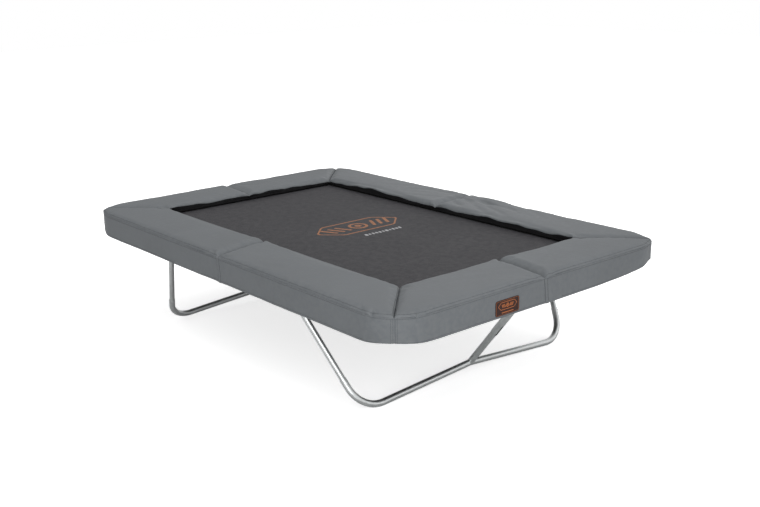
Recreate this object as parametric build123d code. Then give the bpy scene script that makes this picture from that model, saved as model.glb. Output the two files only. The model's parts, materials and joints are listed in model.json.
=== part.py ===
from build123d import *
import os
from math import acos, cos, pi, sin

# Rectangular garden trampoline. Millimetres. +X runs along the long side, +Y along the short side,
# +Z up. The origin is on the ground, under the middle of the mat. Left/right are -X/+X, front/back -Y/+Y.

# ---------------------------------------------------------------- driving dimensions
FRAME_X, FRAME_Y = 3800.0, 2550.0     # outside of the galvanised top frame
RAIL_D, RAIL_WALL = 48.3, 2.0
RAIL_Z = 841.0                        # height of the top frame's centre line
RAIL_BEND_R = 250.0                   # centre line radius of the four frame corners
CORNER_LEG = 70.0                     # straight end of a corner tube, past its bend

PAD_OVERHANG = 60.0                   # the padding's outer face stands this far outside the frame
PAD_WIDTH = 476.0
PAD_TOP_Z, PAD_BOTTOM_Z = 905.0, 869.0
PAD_CORNER_R = 285.0
PAD_GAP = 0.6                         # between neighbouring pads
SKIRT_BOTTOM_Z = 705.0
SKIRT_T = 3.0
COVER_T = 2.0                         # cover wall around the foam
FOAM_GAP = 0.3

MAT_X, MAT_Y, MAT_T = 3100.0, 1840.0, 4.0
MAT_CORNER_R = 60.0
MAT_TOP_Z = 847.0
HEM_W, HEM_T = 60.0, 2.0

SPRINGS_LONG, SPRINGS_SHORT = 30, 18
SPRING_PITCH = 100.0
SPRING_COIL_D, SPRING_WIRE_D = 24.0, 3.4
RING_LENGTH, RING_WIDTH, RING_WIRE = 34.0, 44.0, 4.0
EYE_LENGTH, EYE_WIDTH, EYE_T, EYE_HOLE_D = 24.0, 24.0, 4.0, 9.0
EYE_LIP = 4.2                         # steel between an eye's end and its hole
RING_TIP = 5.0                        # half the width of a ring's blunt point
HOOK_LENGTH, HOOK_DROP = 20.0, 6.0    # straight end of a spring, and its peg through the ring or eye
HOOK_SEAT = 2.5                       # from a ring's inside to the peg's axis
SPRING_CLEAR = 0.4                    # between a spring and the ring below it

LEG_D, LEG_WALL = 42.4, 2.0           # upper legs
GROUND_D, GROUND_WALL = 48.3, 2.6     # bent tubes that stand on the ground
GROUND_BEND_R = 220.0
LEG_TOP_X = 765.0                     # where a leg's line meets the long rail's centre line
LEG_END_DOWN = 44.0                   # along a leg, from the rail's centre line to the leg's upper end
BEND_X, BEND_Y, BEND_Z = 1272.0, 1018.0, 11.3   # sharp corner that each ground bend is rounded from
YOKE_Z = 87.0                         # the middle of each ground frame is lifted clear of the ground
YOKE_ARM = 70.0
SOCKET_LENGTH = 95.0
LEG_OVERLAP = 60.0                    # length of upper leg inside the ground tube's stub
STUB_STRAIGHT = 68.0                  # straight stub of a ground tube above its bend
STRUT_STOP = 60.0                     # from the end rail's centre line to the strut's upper end
YOKE_SOLID = 90.0                     # foot of the strut that is forged solid with the two arms
STRUT_SOCKET_D, STRUT_SOCKET_WALL = 54.0, 2.6
STRUT_SOCKET_END_Z = 380.0

BUTTON_D, BUTTON_HOLE_D, BUTTON_PROUD = 8.0, 8.6, 4.0
BUTTON_DOWN = 22.0                    # from the stub's mouth to the button's axis
BUTTON_BASE = 12.0                    # from the leg's axis to the button's inner face
BUTTON_ROUND = 2.4
LEAF_LENGTH, LEAF_W, LEAF_T, LEAF_HEEL = 30.0, 8.0, 1.2, 14.0
SCREW_D, SCREW_HEAD_D, SCREW_HEAD_H = 6.0, 13.0, 5.0
SCREW_DEPTH = 6.0                     # into a rail, from its underside
SCREW_PLAY = 0.3
BOLT_BACK, BOLT_FRONT = 30.0, 26.0    # reach of a leg's bolt to both sides of the leg's axis
SPIGOT_HALF, SPIGOT_PLAY, SPIGOT_WALL = 60.0, 0.3, 2.0
SCREW_FROM_JOINT = 24.0
STRAP_T, STRAP_W, STRAP_NECK, STRAP_PLAY = 1.5, 25.0, 8.0, 0.3
STRAPS_LONG = (-1300, -500, -200, 200, 500, 1300)   # along the long rails
STRAPS_SHORT = (-600, -200, 200, 600)

BADGE_Y, BADGE_Z = -361.0, 778.0      # middle of the badge on the right-hand skirt
BADGE_W, BADGE_H, BADGE_T, BADGE_R = 220.0, 118.0, 2.0, 14.0
PRINT_T = 0.4
PRINT_X, PRINT_Y = -85.0, 75.0        # the mat's print is a little off the middle
PRINT_W, PRINT_H, PRINT_LINE = 840.0, 320.0, 14.0
PRINT_BAR_W, PRINT_BAR_H = 370.0, 40.0
PRINT_BAR_SIDE, PRINT_BAR_DOWN = 40.0, 110.0   # the bar's middle, from the motif's middle and lower edge

# ---------------------------------------------------------------- worked-out places
RAIL_X, RAIL_Y = (FRAME_X - RAIL_D) / 2, (FRAME_Y - RAIL_D) / 2
PAD_X, PAD_Y = FRAME_X / 2 + PAD_OVERHANG, FRAME_Y / 2 + PAD_OVERHANG
WELL_X, WELL_Y = PAD_X - PAD_WIDTH, PAD_Y - PAD_WIDTH
JOINT_X = RAIL_X - RAIL_BEND_R - CORNER_LEG   # where a long rail meets a corner tube
JOINT_Y = RAIL_Y - RAIL_BEND_R - CORNER_LEG
MAT_MID_Z = MAT_TOP_Z - MAT_T / 2
SIGNS = (("left", -1), ("right", 1))
DEPTHS = (("front", -1), ("back", 1))

parts = {}


# ---------------------------------------------------------------- helpers
def rod(start, end, diameter):
    """A round bar from start to end."""
    a, b = Vector(*start), Vector(*end)
    return Solid.make_cylinder(diameter / 2, (b - a).length, Plane(a, z_dir=b - a))


def tube(start, end, diameter, wall):
    """A straight tube, open at both ends."""
    return rod(start, end, diameter) - rod(start, end, diameter - 2 * wall)


def bent_tube(points, radius, diameter, wall):
    """A tube along straight runs that are joined by arcs of one radius."""
    path = FilletPolyline(*points, radius=radius)
    start = Plane(path @ 0, z_dir=path % 0)
    return sweep(start * (Circle(diameter / 2) - Circle(diameter / 2 - wall)), path=path)


def group(items):
    """Separate solids kept together as one sub-part."""
    return Compound(children=[s for item in items for s in item.solids()])


def along(start, end, distance):
    """The point at a distance from start, towards end."""
    a, b = Vector(*start), Vector(*end)
    return a + (b - a).normalized() * distance


def side_frames():
    """Each side's name, its outward direction, and its spring positions along the side."""
    for name, sign in DEPTHS:
        yield name, Vector(0, sign, 0), SPRINGS_LONG
    for name, sign in SIGNS:
        yield name, Vector(sign, 0, 0), SPRINGS_SHORT


def side_places(outward, count):
    """For every spring of a side: a plane at the mat's edge, x pointing outwards and z up."""
    edge = (MAT_X if outward.X else MAT_Y) / 2
    sideways = Vector(0, 0, 1).cross(outward)
    for i in range(count):
        offset = (i - (count - 1) / 2) * SPRING_PITCH
        point = outward * edge + sideways * offset + Vector(0, 0, MAT_MID_Z)
        yield Plane(point, x_dir=outward, z_dir=(0, 0, 1))


# ---------------------------------------------------------------- top frame
def rail_joints():
    """Middle and direction of each plugged joint between two tubes of the top frame."""
    for _, sy in DEPTHS:
        for x in (-JOINT_X, 0, JOINT_X):
            yield Vector(x, sy * RAIL_Y, RAIL_Z), Vector(1, 0, 0)
    for _, sx in SIGNS:
        for y in (-JOINT_Y, JOINT_Y):
            yield Vector(sx * RAIL_X, y, RAIL_Z), Vector(0, 1, 0)


screws, spigots = [], []
for middle, direction in rail_joints():
    spigot = tube(middle - direction * SPIGOT_HALF, middle + direction * SPIGOT_HALF,
                  RAIL_D - 2 * (RAIL_WALL + SPIGOT_PLAY), SPIGOT_WALL)
    for step in (-1, 1):
        head_at = middle + direction * (step * SCREW_FROM_JOINT) - Vector(0, 0, RAIL_D / 2)
        shank = rod(head_at + Vector(0, 0, SCREW_DEPTH), head_at, SCREW_D)
        head = Plane(head_at, z_dir=(0, 0, -1)) * extrude(
            RegularPolygon(SCREW_HEAD_D / 2, 6), amount=SCREW_HEAD_H)
        screws.append(shank + head)
        spigot -= shank
    spigots.append(spigot)


def drilled(rail):
    """A frame tube with its screw holes."""
    box = rail.bounding_box()
    for screw in screws:
        place = screw.center()
        if box.min.X < place.X < box.max.X and box.min.Y < place.Y < box.max.Y:
            rail -= screw
    return rail


for depth, sy in DEPTHS:
    for side, sx in SIGNS:
        corner = Vector(sx * RAIL_X, sy * RAIL_Y, RAIL_Z)
        along_x = Vector(sx * JOINT_X, sy * RAIL_Y, RAIL_Z)
        along_y = Vector(sx * RAIL_X, sy * JOINT_Y, RAIL_Z)
        parts[f"frame_corner_{depth}_{side}"] = drilled(
            bent_tube([along_x, corner, along_y], RAIL_BEND_R, RAIL_D, RAIL_WALL))
        parts[f"frame_rail_{depth}_{side}"] = drilled(
            tube(Vector(0, sy * RAIL_Y, RAIL_Z), along_x, RAIL_D, RAIL_WALL))
for side, sx in SIGNS:
    parts[f"frame_rail_end_{side}"] = drilled(
        tube((sx * RAIL_X, -JOINT_Y, RAIL_Z), (sx * RAIL_X, JOINT_Y, RAIL_Z), RAIL_D, RAIL_WALL))
parts["frame_spigots"] = group(spigots)
parts["frame_screws"] = group(screws)


# ---------------------------------------------------------------- legs and ground frames
def pressed_against(piece, rail_start, rail_end):
    """A bracket cut to lie against a rail's outside."""
    return piece - rod(rail_start, rail_end, RAIL_D)


leg_sockets, strut_sockets, leg_bolts = [], [], []
for side, sx in SIGNS:
    yoke = Vector(sx * BEND_X, 0, YOKE_Z)
    end_rail = ((sx * RAIL_X, -300, RAIL_Z), (sx * RAIL_X, 300, RAIL_Z))
    strut_top = Vector(sx * RAIL_X, 0, RAIL_Z)
    yoke_arms = rod(yoke, strut_top, GROUND_D)
    for depth, sy in DEPTHS:
        bend = Vector(sx * BEND_X, sy * BEND_Y, BEND_Z)
        top = Vector(sx * LEG_TOP_X, sy * RAIL_Y, RAIL_Z)
        to_top, to_yoke = (top - bend).normalized(), (yoke - bend).normalized()
        half_turn = (pi - acos(to_top.dot(to_yoke))) / 2
        bend_reach = GROUND_BEND_R * sin(half_turn) / cos(half_turn)
        mouth = bend + to_top * (bend_reach + STUB_STRAIGHT)
        arm_end = along(yoke, bend, YOKE_ARM)

        ground = bent_tube([mouth, bend, arm_end], GROUND_BEND_R, GROUND_D, GROUND_WALL)
        leg_start, leg_end = mouth - to_top * LEG_OVERLAP, top - to_top * LEG_END_DOWN
        leg = tube(leg_start, leg_end, LEG_D, LEG_WALL)

        # snap button through both tubes, pushed out by a leaf spring inside the leg
        axle = mouth - to_top * BUTTON_DOWN
        outward = Vector(sx * 0.75, sy * 0.55, 0.35)
        outward = (outward - to_top * outward.dot(to_top)).normalized()
        hole = rod(axle, axle + outward * GROUND_D, BUTTON_HOLE_D)
        ground -= hole
        leg -= hole
        button_face = Plane(axle + outward * BUTTON_BASE, z_dir=outward)
        button = Solid.make_cylinder(BUTTON_D / 2, GROUND_D / 2 + BUTTON_PROUD - BUTTON_BASE, button_face)
        rim = button.edges().group_by(lambda e: (e.center() - axle).length)[-1]
        button = fillet(rim, BUTTON_ROUND)
        parts[f"snap_button_{depth}_{side}"] = button
        leaf_middle = axle + outward * (BUTTON_BASE - LEAF_T / 2)
        leaf = Plane(leaf_middle, x_dir=to_top, z_dir=outward) * Box(LEAF_LENGTH, LEAF_W, LEAF_T)
        leaf_end = leaf_middle + to_top * (LEAF_LENGTH / 2)
        heel = axle + to_top * (LEAF_LENGTH / 2) - outward * LEAF_HEEL
        bow = Plane((leaf_end + heel) * 0.5, x_dir=to_top, z_dir=outward) * Box(
            LEAF_T, LEAF_W, (leaf_end - heel).length + LEAF_T)
        parts[f"button_spring_{depth}_{side}"] = leaf + bow

        # socket welded under the long rail, with its clamping bolt
        rail_line = ((-2000, sy * RAIL_Y, RAIL_Z), (2000, sy * RAIL_Y, RAIL_Z))
        socket = tube(top, top - to_top * (LEG_END_DOWN + SOCKET_LENGTH), GROUND_D, GROUND_WALL)
        bolt_at = top - to_top * (LEG_END_DOWN + SOCKET_LENGTH / 2)
        across = to_top.cross(Vector(sx, 0, 0)).normalized() * -sy
        bolt = rod(bolt_at - across * BOLT_BACK, bolt_at + across * BOLT_FRONT, SCREW_D)
        bolt += Plane(bolt_at + across * (GROUND_D / 2 + SCREW_PLAY), z_dir=across) * Cylinder(
            SCREW_HEAD_D / 2, SCREW_HEAD_H, align=(Align.CENTER, Align.CENTER, Align.MIN))
        bore = rod(bolt_at - across * GROUND_D, bolt_at + across * GROUND_D, SCREW_D + 2 * SCREW_PLAY)
        leg_sockets.append(pressed_against(socket, *rail_line) - bore)
        leg_bolts.append(bolt)
        parts[f"leg_{depth}_{side}"] = leg - bore
        parts[f"ground_tube_{depth}_{side}"] = ground
        yoke_arms += rod(yoke, arm_end, GROUND_D)

    # yoke: strut and two short arms in one welding, plugged into the end rail's socket
    strut_dir = (strut_top - yoke).normalized()
    strut_stop = strut_top - strut_dir * STRUT_STOP
    yoke_arms = yoke_arms & Plane(strut_stop, z_dir=-strut_dir) * Box(
        FRAME_X, FRAME_X, FRAME_X, align=(Align.CENTER, Align.CENTER, Align.MIN))
    strut_bore = rod(yoke + strut_dir * YOKE_SOLID, strut_top, GROUND_D - 2 * GROUND_WALL)
    parts[f"ground_yoke_{side}"] = yoke_arms - strut_bore
    socket_end = yoke + strut_dir * ((STRUT_SOCKET_END_Z - YOKE_Z) / strut_dir.Z)
    strut_sockets.append(pressed_against(
        tube(socket_end, strut_top, STRUT_SOCKET_D, STRUT_SOCKET_WALL), *end_rail))
parts["leg_sockets"] = group(leg_sockets)
parts["leg_bolts"] = group(leg_bolts)
parts["strut_sockets"] = group(strut_sockets)


# ---------------------------------------------------------------- mat, rings, springs
mat_outline = RectangleRounded(MAT_X, MAT_Y, MAT_CORNER_R)
parts["jump_mat"] = Pos(0, 0, MAT_TOP_Z - MAT_T) * extrude(mat_outline, amount=MAT_T)

hem_strips = []
for sign in (-1, 1):
    reach = MAT_X / 2 - MAT_CORNER_R
    hem_strips.append(Pos(0, sign * (MAT_Y - HEM_W) / 2, MAT_TOP_Z - MAT_T - HEM_T / 2)
                      * Box(2 * reach - 2 * HEM_W, HEM_W, HEM_T))
    reach = MAT_Y / 2 - MAT_CORNER_R
    hem_strips.append(Pos(sign * (MAT_X - HEM_W) / 2, 0, MAT_TOP_Z - MAT_T - HEM_T / 2)
                      * Box(HEM_W, 2 * reach, HEM_T))
parts["mat_hem"] = group(hem_strips)


def v_ring(place):
    """Triangular ring sewn to the mat's edge, its point towards the frame."""
    outline = Polyline((0, -RING_WIDTH / 2), (RING_LENGTH, -RING_TIP), (RING_LENGTH, RING_TIP),
                       (0, RING_WIDTH / 2), close=True)
    face = make_face(outline)
    return place * Pos(0, 0, -RING_WIRE / 2) * extrude(face - offset(face, -RING_WIRE), amount=RING_WIRE)


def spring(place, span):
    """Coil body with a straight hook at each end, from the ring's inside to the frame eye's hole."""
    near, far = RING_LENGTH - RING_WIRE - HOOK_SEAT, span - EYE_LENGTH + EYE_HOLE_D / 2 + EYE_LIP
    height = RING_WIRE / 2 + SPRING_WIRE_D / 2 + SPRING_CLEAR
    coil_start, coil_end = near + HOOK_LENGTH, far - HOOK_LENGTH
    body = tube((coil_start, 0, height), (coil_end, 0, height), SPRING_COIL_D, SPRING_WIRE_D)
    for end, wall in ((near, coil_start), (far, coil_end)):
        inner = wall + (SPRING_WIRE_D if wall > end else -SPRING_WIRE_D)
        body += rod((wall, 0, height), (inner, 0, height), SPRING_COIL_D)
        body += rod((end, 0, height), (inner, 0, height), SPRING_WIRE_D)
        body += rod((end, 0, height), (end, 0, -HOOK_DROP), SPRING_WIRE_D)
    return place * body


def frame_eye(place, span):
    """Welded lug on the rail's inner side, with the hole that a spring hooks into."""
    lug = Pos(span - EYE_LENGTH / 2, 0, 0) * Box(EYE_LENGTH, EYE_WIDTH, EYE_T)
    lug += Pos(span + EYE_LENGTH / 2, 0, 0) * Box(EYE_LENGTH, EYE_WIDTH, EYE_T)
    lug -= Pos(span - EYE_LENGTH + EYE_HOLE_D / 2 + EYE_LIP, 0, 0) * Cylinder(EYE_HOLE_D / 2, 2 * EYE_T)
    axis = Vector(span + RAIL_D / 2, 0, RAIL_Z - MAT_MID_Z)
    across = Vector(0, EYE_WIDTH, 0)
    return place * (lug - rod(axis - across, axis + across, RAIL_D))


for side, outward, count in side_frames():
    span = (RAIL_X - MAT_X / 2 if outward.X else RAIL_Y - MAT_Y / 2) - RAIL_D / 2
    places = list(side_places(outward, count))
    parts[f"v_rings_{side}"] = group([v_ring(place) for place in places])
    parts[f"springs_{side}"] = group([spring(place, span) for place in places])
    parts[f"spring_eyes_{side}"] = group([frame_eye(place, span) for place in places])


def motif(width, height, line):
    """Plain sports motif: a ring between two fans of slanted bars, inside a long six-sided outline."""
    tip = height / 2
    outline = make_face(Polyline(
        (-width / 2, 0), (-width / 2 + tip, tip), (width / 2 - tip, tip), (width / 2, 0),
        (width / 2 - tip, -tip), (-width / 2 + tip, -tip), close=True))
    shapes = [outline - offset(outline, -line)]
    radius = height * 0.26
    shapes.append(Circle(radius) - Circle(radius - 1.4 * line))
    bar = Rectangle(1.6 * line, height * 0.5)
    for step in (1, 2, 3):
        for sign in (-1, 1):
            shapes.append(Pos(sign * (radius + step * height * 0.22), 0) * Rot(0, 0, -25 * sign) * bar)
    return shapes


# The print's width runs along Y and its top points to the left end of the trampoline.
print_plane = Plane((PRINT_X, PRINT_Y, MAT_TOP_Z), x_dir=(0, 1, 0), z_dir=(0, 0, 1))
print_bar = Pos(PRINT_BAR_SIDE, -PRINT_H / 2 - PRINT_BAR_DOWN) * Rectangle(PRINT_BAR_W, PRINT_BAR_H)
print_shapes = motif(PRINT_W, PRINT_H, PRINT_LINE) + [print_bar]
parts["mat_print"] = group([print_plane * extrude(shape, amount=PRINT_T) for shape in print_shapes])


# ---------------------------------------------------------------- padding
pad_outline = RectangleRounded(2 * PAD_X, 2 * PAD_Y, PAD_CORNER_R)
well_outline = Rectangle(2 * WELL_X, 2 * WELL_Y)
skirt_outline = (RectangleRounded(2 * (PAD_X - BADGE_T), 2 * (PAD_Y - BADGE_T), PAD_CORNER_R - BADGE_T)
                 - RectangleRounded(2 * (PAD_X - BADGE_T - SKIRT_T), 2 * (PAD_Y - BADGE_T - SKIRT_T),
                                    PAD_CORNER_R - BADGE_T - SKIRT_T))


def pad_wedge(along_long_side, sx, sy):
    """Plan of one pad's share: from the middle of a side to the mitre at the corner."""
    inner = (WELL_X - PAD_WIDTH, WELL_Y - PAD_WIDTH)
    outer = (PAD_X + PAD_WIDTH, PAD_Y + PAD_WIDTH)
    if along_long_side:
        points = [(0, inner[1]), inner, outer, (0, outer[1])]
    else:
        points = [(inner[0], 0), inner, outer, (outer[0], 0)]
    plan = make_face(Polyline(*[(sx * x, sy * y) for x, y in points], close=True))
    return offset(plan, -PAD_GAP / 2)


foams = []
for depth, sy in DEPTHS:
    for side, sx in SIGNS:
        for name, long_side in ((f"pad_{depth}_{side}", True), (f"pad_{side}_{depth}", False)):
            wedge = pad_wedge(long_side, sx, sy)
            plan = (pad_outline - well_outline) & wedge
            pad = Pos(0, 0, PAD_BOTTOM_Z) * extrude(plan, amount=PAD_TOP_Z - PAD_BOTTOM_Z)
            core_plan = offset(plan, -COVER_T)
            cavity = Pos(0, 0, PAD_BOTTOM_Z + COVER_T) * extrude(
                core_plan, amount=PAD_TOP_Z - PAD_BOTTOM_Z - 2 * COVER_T)
            core = Pos(0, 0, PAD_BOTTOM_Z + COVER_T + FOAM_GAP) * extrude(
                offset(core_plan, -FOAM_GAP), amount=PAD_TOP_Z - PAD_BOTTOM_Z - 2 * (COVER_T + FOAM_GAP))
            skirt = Pos(0, 0, SKIRT_BOTTOM_Z) * extrude(
                skirt_outline & wedge, amount=PAD_BOTTOM_Z + COVER_T / 2 - SKIRT_BOTTOM_Z)
            parts[name] = pad - cavity + skirt
            foams.append(core)
parts["pad_foam"] = group(foams)

strap_places = [(Vector(x, sy * RAIL_Y, RAIL_Z), Vector(1, 0, 0)) for _, sy in DEPTHS for x in STRAPS_LONG]
strap_places += [(Vector(sx * RAIL_X, y, RAIL_Z), Vector(0, 1, 0)) for _, sx in SIGNS for y in STRAPS_SHORT]
straps = []
for middle, direction in strap_places:
    half = direction * (STRAP_W / 2)
    loop = tube(middle - half, middle + half, RAIL_D + 2 * (STRAP_T + STRAP_PLAY), STRAP_T)
    lift = PAD_BOTTOM_Z - RAIL_Z - RAIL_D / 2 - STRAP_PLAY
    tab = Plane(middle + Vector(0, 0, RAIL_D / 2 + STRAP_PLAY), x_dir=direction) * Box(
        STRAP_W, STRAP_NECK, lift, align=(Align.CENTER, Align.CENTER, Align.MIN))
    straps.append(loop + tab)
parts["pad_straps"] = group(straps)

badge_plane = Plane((PAD_X - BADGE_T, BADGE_Y, BADGE_Z), x_dir=(0, 1, 0), z_dir=(1, 0, 0))
parts["badge"] = badge_plane * extrude(RectangleRounded(BADGE_W, BADGE_H, BADGE_R), amount=BADGE_T)

# ---------------------------------------------------------------- write
os.makedirs("parts", exist_ok=True)
for old in os.listdir("parts"):
    os.remove(os.path.join("parts", old))
for node, shape in parts.items():
    shape.label = node
    export_step(shape, f"parts/{node}.step")
print(len(parts), "nodes")
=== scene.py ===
"""Rectangular trampoline: the finished look of every part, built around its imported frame."""

import json
import math

import bmesh
import bpy
import numpy as np
from mathutils import Matrix, Vector, noise
from mathutils.bvhtree import BVHTree


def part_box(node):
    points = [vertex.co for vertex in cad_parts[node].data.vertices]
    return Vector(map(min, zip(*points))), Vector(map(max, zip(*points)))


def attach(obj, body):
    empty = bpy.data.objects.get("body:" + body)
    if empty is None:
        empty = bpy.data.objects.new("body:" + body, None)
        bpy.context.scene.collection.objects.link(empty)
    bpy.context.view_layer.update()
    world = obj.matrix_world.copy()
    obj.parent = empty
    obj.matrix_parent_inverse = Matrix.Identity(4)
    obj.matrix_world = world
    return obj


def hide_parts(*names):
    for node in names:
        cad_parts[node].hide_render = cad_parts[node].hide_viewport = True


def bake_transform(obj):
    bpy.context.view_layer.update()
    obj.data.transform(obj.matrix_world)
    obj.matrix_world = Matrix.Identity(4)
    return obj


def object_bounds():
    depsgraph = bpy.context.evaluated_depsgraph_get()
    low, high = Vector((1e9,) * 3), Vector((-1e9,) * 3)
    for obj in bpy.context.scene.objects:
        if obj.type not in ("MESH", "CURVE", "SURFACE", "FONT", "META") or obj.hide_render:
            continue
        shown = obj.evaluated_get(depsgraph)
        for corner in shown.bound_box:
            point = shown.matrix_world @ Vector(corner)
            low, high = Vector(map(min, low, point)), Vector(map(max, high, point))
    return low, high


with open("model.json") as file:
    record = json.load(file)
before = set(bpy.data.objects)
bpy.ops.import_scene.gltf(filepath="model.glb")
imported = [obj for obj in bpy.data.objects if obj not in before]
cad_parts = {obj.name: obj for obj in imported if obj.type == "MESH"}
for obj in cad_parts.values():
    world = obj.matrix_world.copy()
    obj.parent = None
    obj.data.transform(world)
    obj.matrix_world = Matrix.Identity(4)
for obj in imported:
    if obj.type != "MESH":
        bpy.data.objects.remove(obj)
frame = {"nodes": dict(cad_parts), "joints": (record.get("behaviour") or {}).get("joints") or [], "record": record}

bl_info = {
    "name": "Rectangular trampoline",
    "version": (1, 0, 0),
    "blender": (4, 5, 0),
    "location": "3D View > Sidebar > Trampoline",
    "description": "Builds the mat, springs, padding, skirts and tube finishes of a rectangular trampoline",
    "category": "Object",
}

# ---------------------------------------------------------------- places, from the frame
CAD_LOW, CAD_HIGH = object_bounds()
PAD_X, PAD_Y, PAD_TOP = CAD_HIGH
PAD_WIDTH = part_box("pad_front_right")[1].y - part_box("pad_front_right")[0].y
SKIRT_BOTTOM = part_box("pad_front_right")[0].z
COVER_WALL = 0.0023                   # cover and play below the foam
PAD_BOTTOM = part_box("pad_foam")[0].z - COVER_WALL
PAD_CORNER_R = 0.285
RAIL_LOW, RAIL_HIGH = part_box("frame_rail_front_right")
RAIL_R = (RAIL_HIGH.y - RAIL_LOW.y) / 2
RAIL_Z = (RAIL_HIGH.z + RAIL_LOW.z) / 2
RAIL_Y = -(RAIL_HIGH.y + RAIL_LOW.y) / 2
RAIL_X = sum(corner.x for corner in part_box("frame_rail_end_right")) / 2
MAT_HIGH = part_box("jump_mat")[1]
MAT_CORNER_R = 0.06
SEAM_Z = PAD_TOP - 0.021              # where the cover's top is sewn to its skirt

SIDES = ("front", "back", "left", "right")
OUTWARD = {
    "front": Vector((0, -1, 0)),
    "back": Vector((0, 1, 0)),
    "left": Vector((-1, 0, 0)),
    "right": Vector((1, 0, 0)),
}
# The flat middle of the mat that moves as one when it is pressed; the rest lies flat between it and the rails.
STILL_Y = 0.5
STILL_X = RAIL_X - (RAIL_X - MAT_HIGH.x) * (RAIL_Y - STILL_Y) / (RAIL_Y - MAT_HIGH.y)


def stand_in(piece, slot, *nodes):
    """Hides the CAD nodes that a piece replaces, if any; the material slot is not used."""
    if nodes:
        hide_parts(*nodes)


def carried(piece, body, slot, *nodes):
    """Lets a piece ride on a body."""
    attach(piece, body)
    stand_in(piece, slot, *nodes)


def sloped(piece, side, slot, *nodes):
    """Bakes the transform of a piece on one side of the mat into its mesh, and hides the CAD nodes that it
    replaces.
    """
    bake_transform(piece)
    stand_in(piece, slot, *nodes)


def solid_boxes(node):
    """The (low, high) box of every separate solid of a CAD node, without the hollows inside it."""
    mesh = frame["nodes"][node].data
    points = np.array([v.co for v in mesh.vertices])
    keys = np.unique(points.round(5), axis=0, return_inverse=True)[1].ravel()
    parent = np.arange(keys.max() + 1)

    def root(i):
        while parent[i] != i:
            parent[i] = parent[parent[i]]
            i = parent[i]
        return i

    for a, b in np.array([e.vertices for e in mesh.edges]):
        parent[root(keys[a])] = root(keys[b])
    owner = np.array([root(k) for k in keys])
    boxes = [(points[owner == o].min(0), points[owner == o].max(0)) for o in np.unique(owner)]

    def inside(box, other):
        return (box[0] > other[0]).all() and (box[1] < other[1]).all()

    return [box for box in boxes if not any(inside(box, other) for other in boxes)]


# ---------------------------------------------------------------- settings
def length_setting(name, description, default):
    return bpy.props.FloatProperty(
        name=name, description=description, default=default, unit="LENGTH", precision=4)


def colour_setting(name, description, default):
    return bpy.props.FloatVectorProperty(
        name=name, description=description, default=default, size=3, subtype="COLOR", min=0, max=1)


def angle_setting(name, description, degrees):
    return bpy.props.FloatProperty(
        name=name, description=description, default=math.radians(degrees), subtype="ANGLE")


class TrampolinePadSettings(bpy.types.PropertyGroup):
    vinyl: colour_setting("Cover colour", "Coated fabric of the pads and skirts", (0.108, 0.118, 0.127))
    # Near-black colour: the liner's own black, made darker still as painted shade for the gaps under the pads'
    # inner edges and in the socket slits.
    liner_and_shade: colour_setting("Underside colour", "Black liner under the pads", (0.004, 0.004, 0.0045))
    thread: colour_setting("Thread colour", "Sewing thread of the covers", (0.042, 0.045, 0.048))
    crown: length_setting("Crown", "How far the middle of a pad stands above its edges", 0.006)
    inner_rise: length_setting("Inner rise", "How much higher the inner edge is than the outer one", 0.006)
    shoulder: length_setting("Shoulder", "Radius of the pad's outer top edge", 0.024)
    stitch_pitch: length_setting("Stitch pitch", "Distance from one stitch to the next", 0.009)
    pressure: bpy.props.FloatProperty(
        name="Filling pressure", description="How hard the filling pushes the cover out", default=2.2)
    slack: bpy.props.FloatProperty(
        name="Cover slack", description="Share by which the cover is cut larger than its filling",
        default=0.004, subtype="FACTOR")


class TrampolineMatSettings(bpy.types.PropertyGroup):
    fabric: colour_setting("Mat colour", "Woven jumping mat", (0.034, 0.033, 0.037))
    webbing: colour_setting("Webbing colour", "Hem of the mat and the straps", (0.012, 0.012, 0.013))
    print_main: colour_setting("Print colour", "Main colour of the print", (0.33, 0.125, 0.042))
    print_light: colour_setting("Print second colour", "Bar below the print", (0.42, 0.42, 0.43))
    thread_pitch: length_setting("Weave size", "Width of one thread of the mat", 0.0016)


class TrampolineSpringSettings(bpy.types.PropertyGroup):
    wire: length_setting("Wire", "Thickness of the spring wire", 0.0034)
    coil: length_setting("Coil", "Outer diameter of the coil", 0.024)
    pitch: length_setting("Coil pitch", "Distance from one turn to the next", 0.0043)


class TrampolineMetalSettings(bpy.types.PropertyGroup):
    zinc: colour_setting("Zinc colour", "Galvanised tubes", (0.64, 0.66, 0.66))
    spangle: length_setting("Spangle size", "Width of the zinc's crystals", 0.009)


class TrampolineStageSettings(bpy.types.PropertyGroup):
    camera_place: bpy.props.FloatVectorProperty(
        name="Camera place", description="Where the camera stands", default=(6.2055, -4.9998, 2.9181),
        size=3, subtype="XYZ", unit="LENGTH")
    azimuth: angle_setting("Azimuth", "Direction of view; 0 looks along +Y", 49.868)
    elevation: angle_setting("Elevation", "Downward tilt of the view", 15.934)
    roll: angle_setting("Roll", "Lean of the camera", -0.915)
    lens: bpy.props.FloatProperty(
        name="Lens", description="Focal length in millimetres on a 36 mm sensor", default=48.76)
    floor: colour_setting("Floor colour", "Pale floor", (0.86, 0.86, 0.86))
    sky: bpy.props.FloatProperty(name="Sky light", description="Strength of the even light", default=1.0)


def settings(kind):
    return getattr(bpy.context.scene, "trampoline_" + kind)


# ---------------------------------------------------------------- mesh helpers
def link(name, mesh, *materials):
    """A new object for a mesh, with its materials."""
    for material in materials:
        mesh.materials.append(material)
    piece = bpy.data.objects.new(name, mesh)
    bpy.context.scene.collection.objects.link(piece)
    return piece


def mesh_from(name, points, faces, smooth=True):
    mesh = bpy.data.meshes.new(name)
    mesh.from_pydata([tuple(p) for p in points], [], [tuple(f) for f in faces])
    mesh.validate()
    mesh.polygons.foreach_set("use_smooth", [smooth] * len(mesh.polygons))
    mesh.update()
    return mesh


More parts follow.
